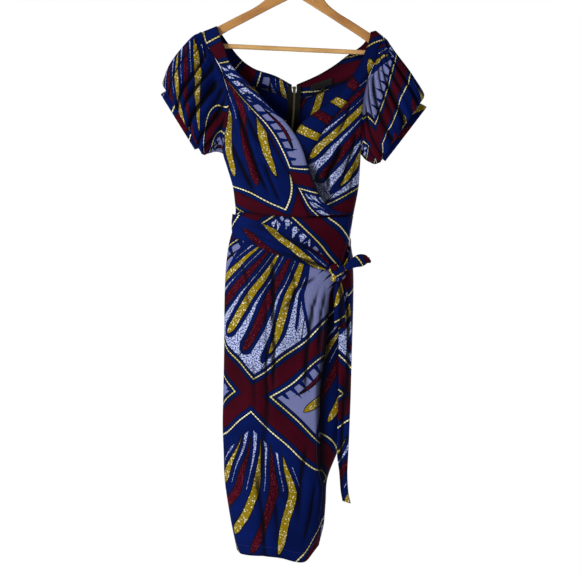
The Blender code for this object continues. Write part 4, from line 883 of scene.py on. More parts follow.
band_left_front = front_band("left", LEFT_SEAM, LEFT_INNER, over_lift)
band_right_front = front_band("right", RIGHT_SEAM, RIGHT_INNER, no_lift)[:, ::-1]
band_left_back = back_band("left", BACK_LEFT_SEAM, BACK_LEFT_INNER)
band_right_back = back_band("right", BACK_RIGHT_SEAM, BACK_RIGHT_INNER)[:, ::-1]
for place, grid, turn, origin, size in (
        ("left_front", band_left_front, -49, (0.0756, 0.2233), (0.060, 0.470)),
        ("right_front", band_right_front, 90, (-0.46, 0.190), (0.060, 0.440)),
        ("left_back", band_left_back, 40, (0.30, 0.22), (0.058, 0.230)),
        ("right_back", band_right_back, -35, (0.26, 0.05), (0.058, 0.225))):
    piece = printed(f"band_{place}_cloth", grid, turn, origin, BAND_WALL, sewn=("left", "right"),
                    shade=wrap_shade(grid) if place == "right_front" else 0.0)
    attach(piece, "dress")
    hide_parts(f"neck_band_{place}")
    size[0] * size[1] * 0.8

# ==================================================================== puff sleeves
# Short puff sleeves, gathered into the armholes and again onto the cuffs. The gathers fall as
# uneven troughs from the shoulder, deepest at the front of the armhole, and small ones bunch
# above the cuff.
SLEEVE_POWER = 2.2
SLEEVE_GAP = 0.0012
SLEEVE_FULLNESS = 1.15
OVER_CUFF, PAST_CUFF_SEAM = 0.0014, 0.002
SleeveRing = namedtuple("SleeveRing", "top_x top_z low_x low_z half_depth rounded fullness")
SLEEVE = {
    "left": [SleeveRing(*row) for row in (
        (-0.2128, -0.193, -0.1618, -0.436, 0.024, 0.55, 0.80),
        (-0.2338, -0.211, -0.1728, -0.435, 0.036, 0.85, 1.00),
        (-0.2640, -0.250, -0.1882, -0.4385, 0.0455, 1.00, 1.00),
        (-0.2798, -0.290, -0.1968, -0.441, 0.047, 1.00, 0.85),
        (-0.2783, -0.301, -0.2008, -0.436, 0.044, 1.00, 0.60),
    )],
    "right": [SleeveRing(*row) for row in (
        (0.1932, -0.217, 0.1362, -0.447, 0.024, 0.55, 0.80),
        (0.2082, -0.239, 0.1442, -0.456, 0.036, 0.85, 1.00),
        (0.2360, -0.2745, 0.1577, -0.4602, 0.0455, 1.00, 1.00),
        (0.2602, -0.314, 0.1702, -0.457, 0.047, 1.00, 0.85),
        (0.2587, -0.327, 0.1705, -0.455, 0.044, 1.00, 0.60),
    )],
}
CuffRing = namedtuple("CuffRing", "top_x top_z low_x low_z half_depth")
CUFF = {
    "left": (CuffRing(-0.2658, -0.308, -0.1948, -0.421, 0.034),
             CuffRing(-0.2850, -0.318, -0.2151, -0.431, 0.033)),
    "right": (CuffRing(0.2472, -0.335, 0.1682, -0.440, 0.034),
              CuffRing(0.2673, -0.3442, 0.1820, -0.4555, 0.033)),
}
# Gathers as turns round the sleeve (0 at its top, a quarter at the front, a half at the underarm)
# at the armhole and at the cuff, width in turns, depth in millimetres, and the shares of the
# sleeve's length where they start and end.
Gather = namedtuple("Gather", "at_armhole at_cuff width depth start end")
GATHERS = {
    "left": [Gather(*row) for row in (
        (0.030, 0.045, 0.014, 2.6, 0.00, 0.62), (0.085, 0.100, 0.016, 3.8, 0.00, 0.90),
        (0.135, 0.118, 0.013, 3.0, 0.00, 0.55), (0.180, 0.175, 0.015, 5.2, 0.05, 1.00),
        (0.225, 0.205, 0.012, 4.2, 0.00, 0.70), (0.262, 0.262, 0.016, 5.4, 0.10, 1.00),
        (0.300, 0.290, 0.011, 3.2, 0.00, 0.60), (0.335, 0.350, 0.015, 4.6, 0.00, 0.95),
        (0.385, 0.410, 0.014, 3.4, 0.05, 0.85), (0.430, 0.445, 0.013, 2.4, 0.20, 1.00),
        (0.560, 0.550, 0.015, 2.6, 0.05, 0.90), (0.615, 0.600, 0.014, 3.4, 0.00, 0.75),
        (0.665, 0.670, 0.015, 4.4, 0.00, 1.00), (0.712, 0.720, 0.012, 3.2, 0.00, 0.65),
        (0.755, 0.750, 0.016, 5.0, 0.05, 1.00), (0.805, 0.820, 0.013, 3.6, 0.00, 0.80),
        (0.855, 0.850, 0.015, 4.0, 0.00, 0.95), (0.915, 0.900, 0.014, 3.2, 0.00, 0.70),
        (0.965, 0.960, 0.013, 2.2, 0.10, 0.90))],
    "right": [Gather(*row) for row in (
        (0.045, 0.030, 0.014, 3.0, 0.00, 0.80), (0.095, 0.085, 0.015, 4.4, 0.00, 1.00),
        (0.140, 0.160, 0.013, 3.4, 0.00, 0.60), (0.175, 0.215, 0.016, 5.4, 0.00, 0.95),
        (0.220, 0.240, 0.012, 3.2, 0.05, 0.70), (0.258, 0.300, 0.016, 5.0, 0.00, 1.00),
        (0.305, 0.320, 0.012, 3.0, 0.00, 0.55), (0.345, 0.385, 0.015, 4.0, 0.05, 0.90),
        (0.400, 0.430, 0.014, 2.8, 0.00, 0.80), (0.570, 0.560, 0.014, 2.8, 0.00, 0.85),
        (0.625, 0.610, 0.015, 3.6, 0.00, 0.95), (0.680, 0.690, 0.013, 4.0, 0.00, 0.70),
        (0.725, 0.735, 0.016, 4.8, 0.05, 1.00), (0.780, 0.770, 0.013, 3.4, 0.00, 0.65),
        (0.830, 0.840, 0.015, 4.4, 0.00, 1.00), (0.890, 0.880, 0.014, 3.4, 0.00, 0.75),
        (0.945, 0.940, 0.014, 2.6, 0.05, 0.95))],
}
GATHER_LEAN = 0.075
GATHER_EASE, GATHER_FADE, GATHER_RIDGE = 0.10, 0.30, (0.42, 1.8)
GATHER_FULLNESS = 1.45
GATHER_SWAY, LIFT_SIDEWAYS = 0.15, 0.35
CUFF_BUNCHES, BUNCH_DEPTH, BUNCH_START, BUNCH_EASE, BUNCH_FADE = 25, 0.0024, 0.48, 0.30, 0.12
ARMHOLE_PINCHES, PINCH_DEPTH, PINCH_END, PINCH_EASE = 39, 0.0011, 0.16, 0.02
CUFF_PUFF, CUFF_WAVE, CUFF_RIPPLE = 0.0008, 0.0006, 0.0005


def armhole_ring(side, back):
    """Points from the fold over the hanger down the band's end and the armhole to the underarm."""
    top_z = (BACK_ARMHOLE_TOP_Z if back else ARMHOLE_TOP_Z)[side]
    _, shoulder_z = shoulder_places(side, top_z, 6)
    z = np.concatenate([shoulder_z[:6], np.linspace(top_z, UNDERARM_Z, ARMHOLE_ROWS + 1)])
    return raw_point(np.full(len(z), side_seam(side, back)), z)


def power_pair(angle, power):
    """Cosine and sine of a superellipse."""
    cosine, sine = np.cos(angle), np.sin(angle)
    return (np.copysign(np.abs(cosine) ** (2 / power), cosine),
            np.copysign(np.abs(sine) ** (2 / power), sine))


def ring_points(ring, angle, grow=0.0):
    """Points of an upright ring: angle 0 at its top, the front at a quarter turn."""
    top = np.array((ring.top_x, 0.0, ring.top_z))
    low = np.array((ring.low_x, 0.0, ring.low_z))
    half = (top - low) / 2
    size = np.linalg.norm(half)
    cosine, sine = power_pair(angle, SLEEVE_POWER)
    forward = np.array((0.0, -1.0, 0.0)) * (ring.half_depth + grow)
    return (top + low) / 2 + half * (1 + grow / size) * cosine[:, None] + forward * sine[:, None]


def sleeve_grid(side, around=320, along_steps=64):
    """Rows from the armhole to the cuff, each starting and ending at the underarm."""
    angle = np.pi + 2 * np.pi * np.arange(around) / around
    turn = angle % (2 * np.pi)
    front, back = armhole_ring(side, False), armhole_ring(side, True)
    last = len(front) - 1
    start = np.where((turn <= np.pi)[:, None],
                     smooth(range(last + 1), front, turn / np.pi * last),
                     smooth(range(last + 1), back, (2 * np.pi - turn) / np.pi * last))
    rings = [start]
    for ring in SLEEVE[side]:
        shaped = ring_points(ring, turn)
        rings.append(start + (shaped - start) * ring.rounded)
    seam, edge = CUFF[side]
    onward = np.array((edge.top_x + edge.low_x - seam.top_x - seam.low_x, 0.0,
                       edge.top_z + edge.low_z - seam.top_z - seam.low_z))
    onward *= PAST_CUFF_SEAM / np.linalg.norm(onward)
    rings.append(ring_points(seam, turn, BAND_WALL / 2 + OVER_CUFF) + onward)
    rings = np.array(rings)
    places = np.linspace(0, len(rings) - 1, along_steps + 1)
    grid = smooth(range(len(rings)), rings, places)
    share = (places / places[-1])[:, None]
    turns = (turn / (2 * np.pi))[None, :]
    lift = np.zeros((along_steps + 1, around))
    for gather in GATHERS[side]:
        lean = GATHER_LEAN if gather.at_armhole < 0.5 else -GATHER_LEAN
        centre = gather.at_armhole - lean * 0.5 + (gather.at_cuff - gather.at_armhole + lean * 1.5) * share
        away = np.abs((turns - centre + 0.5) % 1.0 - 0.5) / gather.width
        run = ease((share - gather.start) / GATHER_EASE) * ease((gather.end - share) / GATHER_FADE)
        lift += gather.depth * MM * run * furrow(away, GATHER_RIDGE)
    sway = GATHER_SWAY * np.sin(2 * np.pi * turns * 5)
    bunch = ease((share - BUNCH_START) / BUNCH_EASE) * ease((1.0 - share) / BUNCH_FADE)
    uneven = 0.62 + 0.38 * np.sin(2 * np.pi * turns * 7 + 1.0 + 3.0 * np.sin(2 * np.pi * turns * 2))
    bunches = np.sin(2 * np.pi * (turns * CUFF_BUNCHES + sway) + 1.6 * share)
    bunched = BUNCH_DEPTH * bunch * uneven * bunches
    pinch = ease((PINCH_END - share) / PINCH_END) * ease(share / PINCH_EASE)
    lift += PINCH_DEPTH * pinch * np.sin(2 * np.pi * (turns * ARMHOLE_PINCHES + sway) + 1.0)
    fullness = np.interp(places, range(7), [0.0] + [ring.fullness for ring in SLEEVE[side]] + [0.0])
    out = grid - grid.mean(axis=1, keepdims=True)
    out[..., 0] *= LIFT_SIDEWAYS
    lift = lift * np.clip(fullness, 0, 1)[:, None] * GATHER_FULLNESS + bunched
    return drawn_back(grid + unit(out) * lift[..., None], SLEEVE_GAP)


def cuff_grid(side, around=200, steps=12):
    """A doubled cuff from the gathers to its open edge."""
    angle = (np.pi + 2 * np.pi * np.arange(around) / around) % (2 * np.pi)
    seam, edge = CUFF[side]
    u = np.linspace(0, 1, steps + 1)[:, None, None]
    grid = ring_points(seam, angle) * (1 - u) + ring_points(edge, angle) * u
    out = unit(grid - grid.mean(axis=1, keepdims=True))
    wave = CUFF_WAVE * np.sin(angle * 9 + 1.3 * np.sin(angle * 2)) + CUFF_RIPPLE * np.sin(angle * 17 + 1)
    u = u[..., 0]
    puffed = CUFF_PUFF * np.sin(np.pi * u) ** 0.6 + wave[None, :] * (0.35 + 0.65 * np.sin(np.pi * u))
    return grid + out * puffed[..., None]


for side, way, turn, origin in (("left", 1, -80, (0.33, 0.335)), ("right", -1, 139, (0.011, 0.113))):
    sleeve = printed(f"sleeve_{side}_cloth", sleeve_grid(side)[:, ::way], turn, origin,
                     fullness=SLEEVE_FULLNESS, sewn=("top", "bottom"), tube=True)
    cuff = printed(f"cuff_{side}_cloth", cuff_grid(side)[:, ::way], 90, (0.16, 0.28), BAND_WALL,
                   sewn=("top",), tube=True)
    for piece, node, size, area in ((sleeve, f"sleeve_{side}", (0.56, 0.20), 0.078),
                                    (cuff, f"sleeve_cuff_{side}", (0.33, 0.030), 0.0085)):
        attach(piece, "dress")
        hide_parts(node)

# ==================================================================== skirt
# A wrapped pencil skirt: the over panel from the left side seam crosses the under panel and ends
# in a free hemmed edge, and two back panels meet at the zip and the centre back seam.
SEAM_GAP = 0.0009
PANEL_ROUNDS = 8
HEM_T = (-1.0, -0.9, -0.3, 0.1, 0.4, 0.6, 0.72, 0.85, 1.0)
HEM_Z = (-1.262, -1.271, -1.275, -1.279, -1.286, -1.288, -1.284, -1.266, -1.240)
BACK_HEM_Z = (-1.262, -1.252)
BACK_HEM_SAG = 0.007
UNDER_HEM_Z = -1.246
FREE_EDGE_Z = (-0.566, -0.628, -0.666, -0.703, -0.735, -0.801, -0.849, -0.911, -0.942, -1.015,
               -1.075, -1.110, -1.150, -1.290)
FREE_EDGE_X = (0.1082, 0.1012, 0.0922, 0.0772, 0.0642, 0.0592, 0.0542, 0.0452, 0.0432, 0.0437,
               0.0432, 0.0472, 0.0502, 0.0332)
UNDER_LAP = 0.075
ZIP_END_Z, ZIP_CLOSES_OVER = -0.762, 0.040
# How far the free edge stands off the under panel, in metres, by height.
EDGE_STAND_Z = (-0.566, -0.70, -0.78, -0.88, -1.00, -1.10, -1.20, -1.29)
EDGE_STAND = (0.000, 0.0005, 0.0040, 0.0075, 0.0060, 0.0030, 0.0020, 0.0040)
# The painted shadow in the gap along the over panel's free edge, and how dark it is at each height.
LAP_SHADE_Z, LAP_SHADE = (0.68, 0.78, 1.10, 1.20), (0.0, 1.0, 0.95, 0.45)


def hem_z(angle):
    """Height of the hem, with a rounded corner at the front's free edge."""
    t = -np.cos(angle)
    back = np.interp(t, (-1.0, 1.0), BACK_HEM_Z) - BACK_HEM_SAG * (1 - t * t)
    return np.where(np.sin(angle) < 0, back, smooth(HEM_T, HEM_Z, t))


def under_hem_z(angle):
    """The under panel's hem is level and a little shorter."""
    return np.full_like(angle, UNDER_HEM_Z)


def free_edge_x(z):
    """The over panel's free edge."""
    return smooth([-height for height in FREE_EDGE_Z], FREE_EDGE_X, -z)


def skirt_grid(start_angle, end_angle_at, hem, out, steps, rows=190):
    """Rows of a skirt panel from the waist seam to its hem."""
    u = np.linspace(0, 1, steps + 1)[None, :]
    down = np.linspace(0, 1, rows + 1)[:, None]
    angle = np.full((rows + 1, steps + 1), float(start_angle))
    for _ in range(PANEL_ROUNDS):
        z = waist_z(angle) + (hem(angle) - waist_z(angle)) * down
        angle = start_angle + (end_angle_at(z) - start_angle) * u
    return body_point(angle, z, out(angle, z, u))


def over_out(angle, z, u):
    """The over panel lies on the under one, and its free edge stands off it a little."""
    stand = smooth([-height for height in EDGE_STAND_Z], EDGE_STAND, -z)
    return dipped(over_lift(angle), u) * (u < 0.5) + over_lift(angle) * (u >= 0.5) + stand * u ** 9


over_panel = skirt_grid(side_seam("left"), lambda z: angle_at(free_edge_x(z), z), hem_z, over_out, 76)
under_panel = skirt_grid(side_seam("right"), lambda z: angle_at(free_edge_x(z) - UNDER_LAP, z),
                         under_hem_z, dipped_at_side, 40)[:, ::-1]


def back_panel(side):
    """One back skirt panel, open beside the zip and sewn to the other below it."""
    grid = skirt_grid(side_seam(side, back=True), lambda z: np.full_like(z, CENTRE_ANGLE), hem_z,
                      dipped_at_side, 44)
    below_zip = ease((ZIP_END_Z - grid[:, -1, 2]) / ZIP_CLOSES_OVER)
    beside_zip(grid[:, -1], side, ZIP_OPENING + (SEAM_GAP / 2 - ZIP_OPENING) * below_zip)
    return grid if side == "left" else grid[:, ::-1]


def lap_shade(grid, side, dark, reach):
    """The painted shadow in the gap on one side of the free edge: full to one distance, gone at another."""
    away = side * (grid[..., 0] - free_edge_x(grid[..., 2]))
    gone = ease((away - dark) / (reach - dark))
    return np.interp(-grid[..., 2], LAP_SHADE_Z, LAP_SHADE) * (1 - gone)


left_panel, right_panel = back_panel("left"), back_panel("right")
over_shade = lap_shade(over_panel, -1, 0.002, 0.012)
under_shade = lap_shade(under_panel, 1, 0.006, 0.022)
for name, grid, turn, origin, shade, node, size, area in (
        ("skirt_over_cloth", over_panel, 1, (0.000, 0.165), over_shade,
         "skirt_front_over", (0.33, 0.73), 0.19),
        ("skirt_under_cloth", under_panel, -4, (0.215, 0.550), under_shade,
         "skirt_front_under", (0.19, 0.70), 0.10),
        ("skirt_back_left_cloth", left_panel, -1, (0.26, 0.02), 0.0,
         "skirt_back_left", (0.20, 0.73), 0.12),
        ("skirt_back_right_cloth", right_panel, 2, (0.09, 0.30), 0.0,
         "skirt_back_right", (0.20, 0.73), 0.12)):
    piece = printed(name, grid, turn, origin, sewn=("left", "top", "bottom"), shade=shade)
    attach(piece, "dress")
    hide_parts(node)

# ==================================================================== zip
# A centre back zip with a closed metal chain between two black woven tapes, sewn behind the backs
# from just under the neckline down into the skirt. The slider is at the top of its travel.
ZIP_TOP_Z = -0.2975
TAPE_INNER, TAPE_OUTER, TAPE_WALL = 0.0006, 0.0140, 0.0009
TAPE_POINTS, TAPE_COLUMNS, TAPE_WAVE = 150, 15, 0.0004
BESIDE_SLIDER, BELOW_SLIDER = 0.0006, 0.005
CHAIN_OUT, TOOTH_REACH, TAPE_RISE = -0.0008, 0.0022, 0.0012
SLIDER_WIDTH, SLIDER_HEIGHT, SLIDER_DEPTH, SLIDER_TOP_Z = 0.0084, 0.0100, 0.0046, -0.2985
SLIDER_LOW_Z = SLIDER_TOP_Z - SLIDER_HEIGHT
SLIDER_PLATE = 0.0011
SLIDER_RIB = (0.0009, SLIDER_DEPTH - 0.0012, 0.0040)
SLIDER_BRIDGE, BRIDGE_UP = (0.0016, SLIDER_DEPTH - 0.0004, 0.0026), 0.0032
FULL_TURN = 6.2832
CROWN_OPENING, CROWN_BAR, CROWN_WIDTH, CROWN_HEIGHT = 0.0027, 0.0010, 0.0014, 0.0064
CROWN_SUNK, SLIDER_SOFTENED, PULL_SOFTENED = 0.0002, 0.00028, 0.00025
TOOTH_PITCH = 0.0019
TOOTH_WIDTH, TOOTH_HEIGHT, TOOTH_DEPTH = 0.0027, 0.00105, 0.0021
TOOTH_ASIDE, UNDER_SLIDER, CHAIN_POINTS = 0.0008, 0.0006, 260
TAPE_BACK = -(CLOTH_WALL / 2 + TAPE_WALL / 2 + 0.0010)


def woven_black(name, rib, gloss):
    """Black woven tape: fine ribs along its length, a little lint and uneven dye."""
    made, tree, shader = new_finish(name, gloss, specular=0.10, sheen=0.03)
    place, u, v = cloth_place(tree)
    along_rib, across_rib = FULL_TURN / rib, FULL_TURN / rib * 1.3
    ribs = (u * along_rib).made("SINE") * 0.35 + (v * across_rib).made("SINE") * 0.15 + 0.5
    lint = texture(tree, "Noise", place, 900.0, "Fac", Detail=3.0)
    cloudy = texture(tree, "Noise", place, 90.0, "Fac", Detail=2.0)
    colour = layered(tree, (0.0035, 0.0036, 0.0042), (0.0085, 0.0085, 0.0095), cloudy.spread(0.3, 0.7))
    colour = layered(tree, colour, (0.040, 0.040, 0.042), lint.spread(0.70, 0.80))
    coloured(tree, shader, colour)
    bump(tree, shader, ribs * 0.7 + lint * 0.3, 0.5, 0.00025)
    return made


def aged_brass(name):
    """Antiqued brass: darker in its hollows and rubbed bright on its edges."""
    made, tree, shader = new_finish(name, 0.34, 1.0)
    place = object_place(tree)
    cloudy = texture(tree, "Noise", place, 620.0, "Fac", Detail=3.0)
    rubbed = Reading(tree, tree.nodes.new("ShaderNodeNewGeometry").outputs["Pointiness"]).spread(0.48, 0.56)
    colour = layered(tree, (0.050, 0.036, 0.016), (0.110, 0.084, 0.040), cloudy.spread(0.3, 0.7))
    colour = layered(tree, colour, (0.250, 0.200, 0.100), rubbed)
    coloured(tree, shader, colour)
    tree.links.new(cloudy.spread(0.2, 0.8, 0.24, 0.44).source, shader.inputs["Roughness"])
    bump(tree, shader, cloudy, 0.2, 0.0002)
    return made


ZIP_TAPE = woven_black("zip_tape_weave", 0.0009, 0.85)
ZIP_BRASS = aged_brass("zip_brass")


def zip_line(z, out):
    """Points down the centre back line, on the body without its creases."""
    z = np.asarray(z, float)
    return body_point(np.full_like(z, CENTRE_ANGLE), z, out, creased=False)


def zip_tape(side):
    """One tape: its inner edge passes the slider, then runs in under the teeth."""
    sign = -1 if side == "left" else 1
    z = np.linspace(ZIP_TOP_Z, ZIP_END_Z, TAPE_POINTS)
    inner = np.where(z > SLIDER_LOW_Z - BELOW_SLIDER, SLIDER_WIDTH / 2 + BESIDE_SLIDER, TAPE_INNER)
    inner = np.convolve(np.pad(inner, 2, "edge"), np.ones(5) / 5, "valid")
    u = np.linspace(0, 1, TAPE_COLUMNS)
    across = inner[:, None] + (TAPE_OUTER - inner[:, None]) * u
    grid = np.repeat(zip_line(z, TAPE_BACK)[:, None, :], TAPE_COLUMNS, axis=1)
    grid[..., 0] += sign * across
    grid[..., 1] -= TAPE_WAVE * np.sin(z * 70)[:, None] * u
    grid[..., 1] += (CHAIN_OUT - TAPE_BACK) * ease((TOOTH_REACH + TAPE_RISE - across) / TAPE_RISE)
    return grid if side == "right" else grid[:, ::-1]


for side in ("left", "right"):
    grid = zip_tape(side)
    tape = shell(f"zip_tape_{side}_weave", grid, measured(grid), TAPE_WALL, finish=ZIP_TAPE)
    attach(tape, "dress")
    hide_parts(f"zip_tape_{side}")


def growing_tree(name, sizes):
    """An empty tree of Geometry Nodes with named sizes and a geometry going in and out."""
    tree = bpy.data.node_groups.new(name, "GeometryNodeTree")
    tree.interface.new_socket("Geometry", in_out="INPUT", socket_type="NodeSocketGeometry")
    for label, value in sizes:
        kind = "NodeSocketMaterial" if isinstance(value, bpy.types.Material) else "NodeSocketFloat"
        socket = tree.interface.new_socket(label, in_out="INPUT", socket_type=kind)
        socket.default_value = value
    tree.interface.new_socket("Geometry", in_out="OUTPUT", socket_type="NodeSocketGeometry")
    return tree, tree.nodes.new("NodeGroupInput"), tree.nodes.new("NodeGroupOutput")


def along_paths(name, paths, tree, body_name):
    """Runs a tree over open paths of points and keeps the result as a plain mesh."""
    curve = bpy.data.curves.new(name, "CURVE")
    curve.dimensions = "3D"
    for path in paths:
        spline = curve.splines.new("POLY")
        spline.points.add(len(path) - 1)
        spline.points.foreach_set("co", np.concatenate([path, np.ones((len(path), 1))], 1).reshape(-1))
    carrier = in_scene(name, curve)
    grow = carrier.modifiers.new("grow", "NODES")
    grow.node_group = tree
    bpy.context.view_layer.update()
    grown = carrier.evaluated_get(bpy.context.evaluated_depsgraph_get())
    mesh = bpy.data.meshes.new_from_object(grown)
    bpy.data.objects.remove(carrier, do_unlink=True)
    piece = in_scene(name, mesh)
    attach(piece, body_name)
    return piece


def repeated_on_curve(name, finish, pitch, size, round_part):
    """A tree that sets a small block of a size (across, along, deep) at every pitch of a path."""
    across, along_path, deep = size
    tree, given, result = growing_tree(name, (
        ("Pitch", pitch), ("Across", across), ("Along", along_path), ("Deep", deep), ("Finish", finish)))
    spaced = tree.nodes.new("GeometryNodeCurveToPoints")
    spaced.mode = "LENGTH"
    block = tree.nodes.new("GeometryNodeMeshUVSphere" if round_part else "GeometryNodeMeshCube")
    gauge = tree.nodes.new("ShaderNodeCombineXYZ")
    placed = tree.nodes.new("GeometryNodeInstanceOnPoints")
    real = tree.nodes.new("GeometryNodeRealizeInstances")
    finished = tree.nodes.new("GeometryNodeSetMaterial")
    link = tree.links.new
    link(given.outputs["Geometry"], spaced.inputs["Curve"])
    link(given.outputs["Pitch"], spaced.inputs["Length"])
    for label, axis in (("Across", "X"), ("Deep", "Y"), ("Along", "Z")):
        link(given.outputs[label], gauge.inputs[axis])
    if round_part:
        block.inputs["Segments"].default_value = 6
        block.inputs["Rings"].default_value = 5
        block.inputs["Radius"].default_value = 0.5
    link(spaced.outputs["Points"], placed.inputs["Points"])
    link(block.outputs["Mesh"], placed.inputs["Instance"])
    link(spaced.outputs["Rotation"], placed.inputs["Rotation"])
    link(gauge.outputs[0], placed.inputs["Scale"])
    link(placed.outputs[0], real.inputs[0])
    link(real.outputs[0], finished.inputs["Geometry"])
    link(given.outputs["Finish"], finished.inputs["Material"])
    link(finished.outputs[0], result.inputs[0])
    return tree


TOOTH = (TOOTH_WIDTH, TOOTH_HEIGHT, TOOTH_DEPTH)
TEETH = repeated_on_curve("zip_teeth", ZIP_BRASS, TOOTH_PITCH, TOOTH, round_part=False)
tooth_rows = []
for sign, start in ((-1, 0.0), (1, TOOTH_PITCH / 2)):
    line = zip_line(np.linspace(SLIDER_LOW_Z - UNDER_SLIDER - start, ZIP_END_Z, CHAIN_POINTS), CHAIN_OUT)
    line[:, 0] += sign * TOOTH_ASIDE
    tooth_rows.append(line)
zip_teeth = along_paths("zip_teeth", tooth_rows, TEETH, "dress")
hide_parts("zip_chain")


def plate(bm, outline, low_y, high_y):
    """A flat plate with an outline in the XZ plane, between two depths."""
    near = [bm.verts.new((x, low_y, z)) for x, z in outline]
    far = [bm.verts.new((x, high_y, z)) for x, z in outline]
    bm.faces.new(near)
    bm.faces.new(far[::-1])
    for i in range(len(outline)):
        j = (i + 1) % len(outline)
        bm.faces.new((near[j], near[i], far[i], far[j]))


def block(bm, centre, size):
    """A plain block in a mesh being made."""
    made = bmesh.ops.create_cube(bm, size=1.0)["verts"]
    bmesh.ops.scale(bm, verts=made, vec=size)
    bmesh.ops.translate(bm, verts=made, vec=centre)


def kept_mesh(name, bm, finish):
    """The mesh that was made in bm, with its finish."""
    mesh = bpy.data.meshes.new(name)
    bm.to_mesh(mesh)
    bm.free()
    mesh.materials.append(finish)
    return mesh


def metal_piece(name, bm, finish, softened):
    """A small metal piece with softened edges."""
    bmesh.ops.recalc_face_normals(bm, faces=bm.faces)
    piece = in_scene(name, kept_mesh(name, bm, finish))
    edge = piece.modifiers.new("softened", "BEVEL")
    edge.width = softened
    edge.segments = 3
    edge.limit_method = "ANGLE"
    return piece


mid_x, mid_y, mid_z = zip_line(SLIDER_TOP_Z - SLIDER_HEIGHT / 2, CHAIN_OUT)
face_y = mid_y + SLIDER_DEPTH / 2
half, high = SLIDER_WIDTH / 2, SLIDER_HEIGHT / 2
outline = [(mid_x + x * half, mid_z + z * high) for x, z in (
    (-0.52, -1.0), (0.52, -1.0), (0.66, -0.55), (0.92, 0.10), (1.0, 0.62), (0.86, 0.90), (0.30, 1.0),
    (-0.30, 1.0), (-0.86, 0.90), (-1.0, 0.62), (-0.92, 0.10), (-0.66, -0.55))]
bm = bmesh.new()
plate(bm, outline, face_y - SLIDER_DEPTH, face_y - SLIDER_DEPTH + SLIDER_PLATE)
plate(bm, outline, face_y - SLIDER_PLATE, face_y)
for x, z in ((-0.78, 0.40), (0.78, 0.40), (-0.56, -0.45), (0.56, -0.45)):
    block(bm, (mid_x + x * half, mid_y, mid_z + z * high), SLIDER_RIB)
block(bm, (mid_x, mid_y, mid_z + BRIDGE_UP), SLIDER_BRIDGE)
for z in (-1, 1):
    block(bm, (mid_x, face_y + (CROWN_OPENING + CROWN_BAR) / 2 - CROWN_SUNK,
               mid_z + z * (CROWN_HEIGHT - CROWN_BAR) / 2),
          (CROWN_WIDTH, CROWN_OPENING + CROWN_BAR + CROWN_SUNK, CROWN_BAR))
crown_y = face_y + CROWN_OPENING + CROWN_BAR / 2
block(bm, (mid_x, crown_y, mid_z), (CROWN_WIDTH, CROWN_BAR, CROWN_HEIGHT))
zip_slider = metal_piece("zip_slider_brass", bm, ZIP_BRASS, SLIDER_SOFTENED)
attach(zip_slider, "dress")
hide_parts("zip_slider")

# The pull tab hangs on the crown and swings on its cross bar. It is pressed from sheet with a
# raised rim round a sunk middle.
bm = bmesh.new()
bm.from_mesh(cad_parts["zip_pull"].data)
bmesh.ops.remove_doubles(bm, verts=bm.verts, dist=0.00001)
bmesh.ops.dissolve_limit(bm, angle_limit=0.02, verts=bm.verts, edges=bm.edges)
zip_pull = metal_piece("zip_pull_brass", bm, ZIP_BRASS, PULL_SOFTENED)
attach(zip_pull, "zip_pull")
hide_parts("zip_pull")

# ==================================================================== neck label
# A plain black woven label and a small loop under it, stitched flat inside the right back band.
# Both are left bare.
LABEL_TOP = ((0.0275, -0.2954), (0.0725, -0.2808))
LABEL_HEIGHT, LABEL_WALL, LABEL_BOW = 0.0135, 0.0007, 0.0005
TAB_TOP = ((0.0480, -0.3025), (0.0572, -0.2995))
TAB_HEIGHT = 0.0070
LABEL_STEPS, TAB_STEPS = (40, 14), (12, 10)
LABEL_WEAVE = woven_black("label_weave", 0.0005, 0.62)
LABEL_OUT = -(BAND_WALL / 2 + LABEL_WALL / 2 + 0.0005)


def inside_band(top_edge, height, steps):
    """Points of a small piece that lies on the inside of the right back band."""
    u = np.linspace(0, 1, steps[0] + 1)[None, :]
    down = np.linspace(0, 1, steps[1] + 1)[:, None]
    (x0, z0), (x1, z1) = top_edge
    x = x0 + (x1 - x0) * u + 0 * down
    z = z0 + (z1 - z0) * u - height * down
    bow = -LABEL_BOW * np.sin(np.pi * down) * np.sin(np.pi * u) ** 0.5
    return body_point(angle_at(x, z, back=True), z, LABEL_OUT + bow)


for name, node, top_edge, height, steps, flat, area in (
        ("neck_label_weave", "neck_label", LABEL_TOP, LABEL_HEIGHT, LABEL_STEPS, (0.0473, 0.0135), None),
        ("neck_label_tab_weave", "neck_label_tab", TAB_TOP, TAB_HEIGHT, TAB_STEPS, (0.010, 0.010),
         0.00007)):
    grid = inside_band(top_edge, height, steps)
    piece = shell(name, grid, measured(grid), LABEL_WALL, finish=LABEL_WEAVE)
    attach(piece, "dress")
    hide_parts(node)

# ==================================================================== tie sash
# A doubled sash from the left side seam crosses the front, ties to a short end from the right
# seam in a soft knot, and leaves one loop, a short tail and a long one hanging.
SashRow = namedtuple("SashRow", "x upper lower out")
SASH = [SashRow(*row) for row in (
    (-0.1323, -0.5660, -0.6160, 0.0042),
    (-0.1158, -0.5700, -0.6210, 0.0048),
    (-0.0708, -0.5880, -0.6400, 0.0066),
    (-0.0288, -0.6080, -0.6560, 0.0068),
    (0.0042, -0.6250, -0.6680, 0.0070),
    (0.0372, -0.6440, -0.6790, 0.0078),
    (0.0616, -0.6630, -0.6840, 0.0110),
)]
SASH_POINTS, SASH_COLUMNS = 96, 25
SASH_FOLDS, SASH_FOLD_START, SASH_FOLD_GROWTH = 1.45, 0.0005, 0.0017
SASH_OFF, SASH_WAVE = 0.0010, 0.0006
GROOVE_PLACE, GROOVE_WANDER, GROOVE_WIDTH = 0.50, 0.06, 0.045
GROOVE_DEPTH, GROOVE_GROWTH = 0.0008, 0.0012
KNOT_X, KNOT_Z, KNOT_OUT = 0.0807, -0.6880, 0.0205
KNOT_WIDTH = 0.032
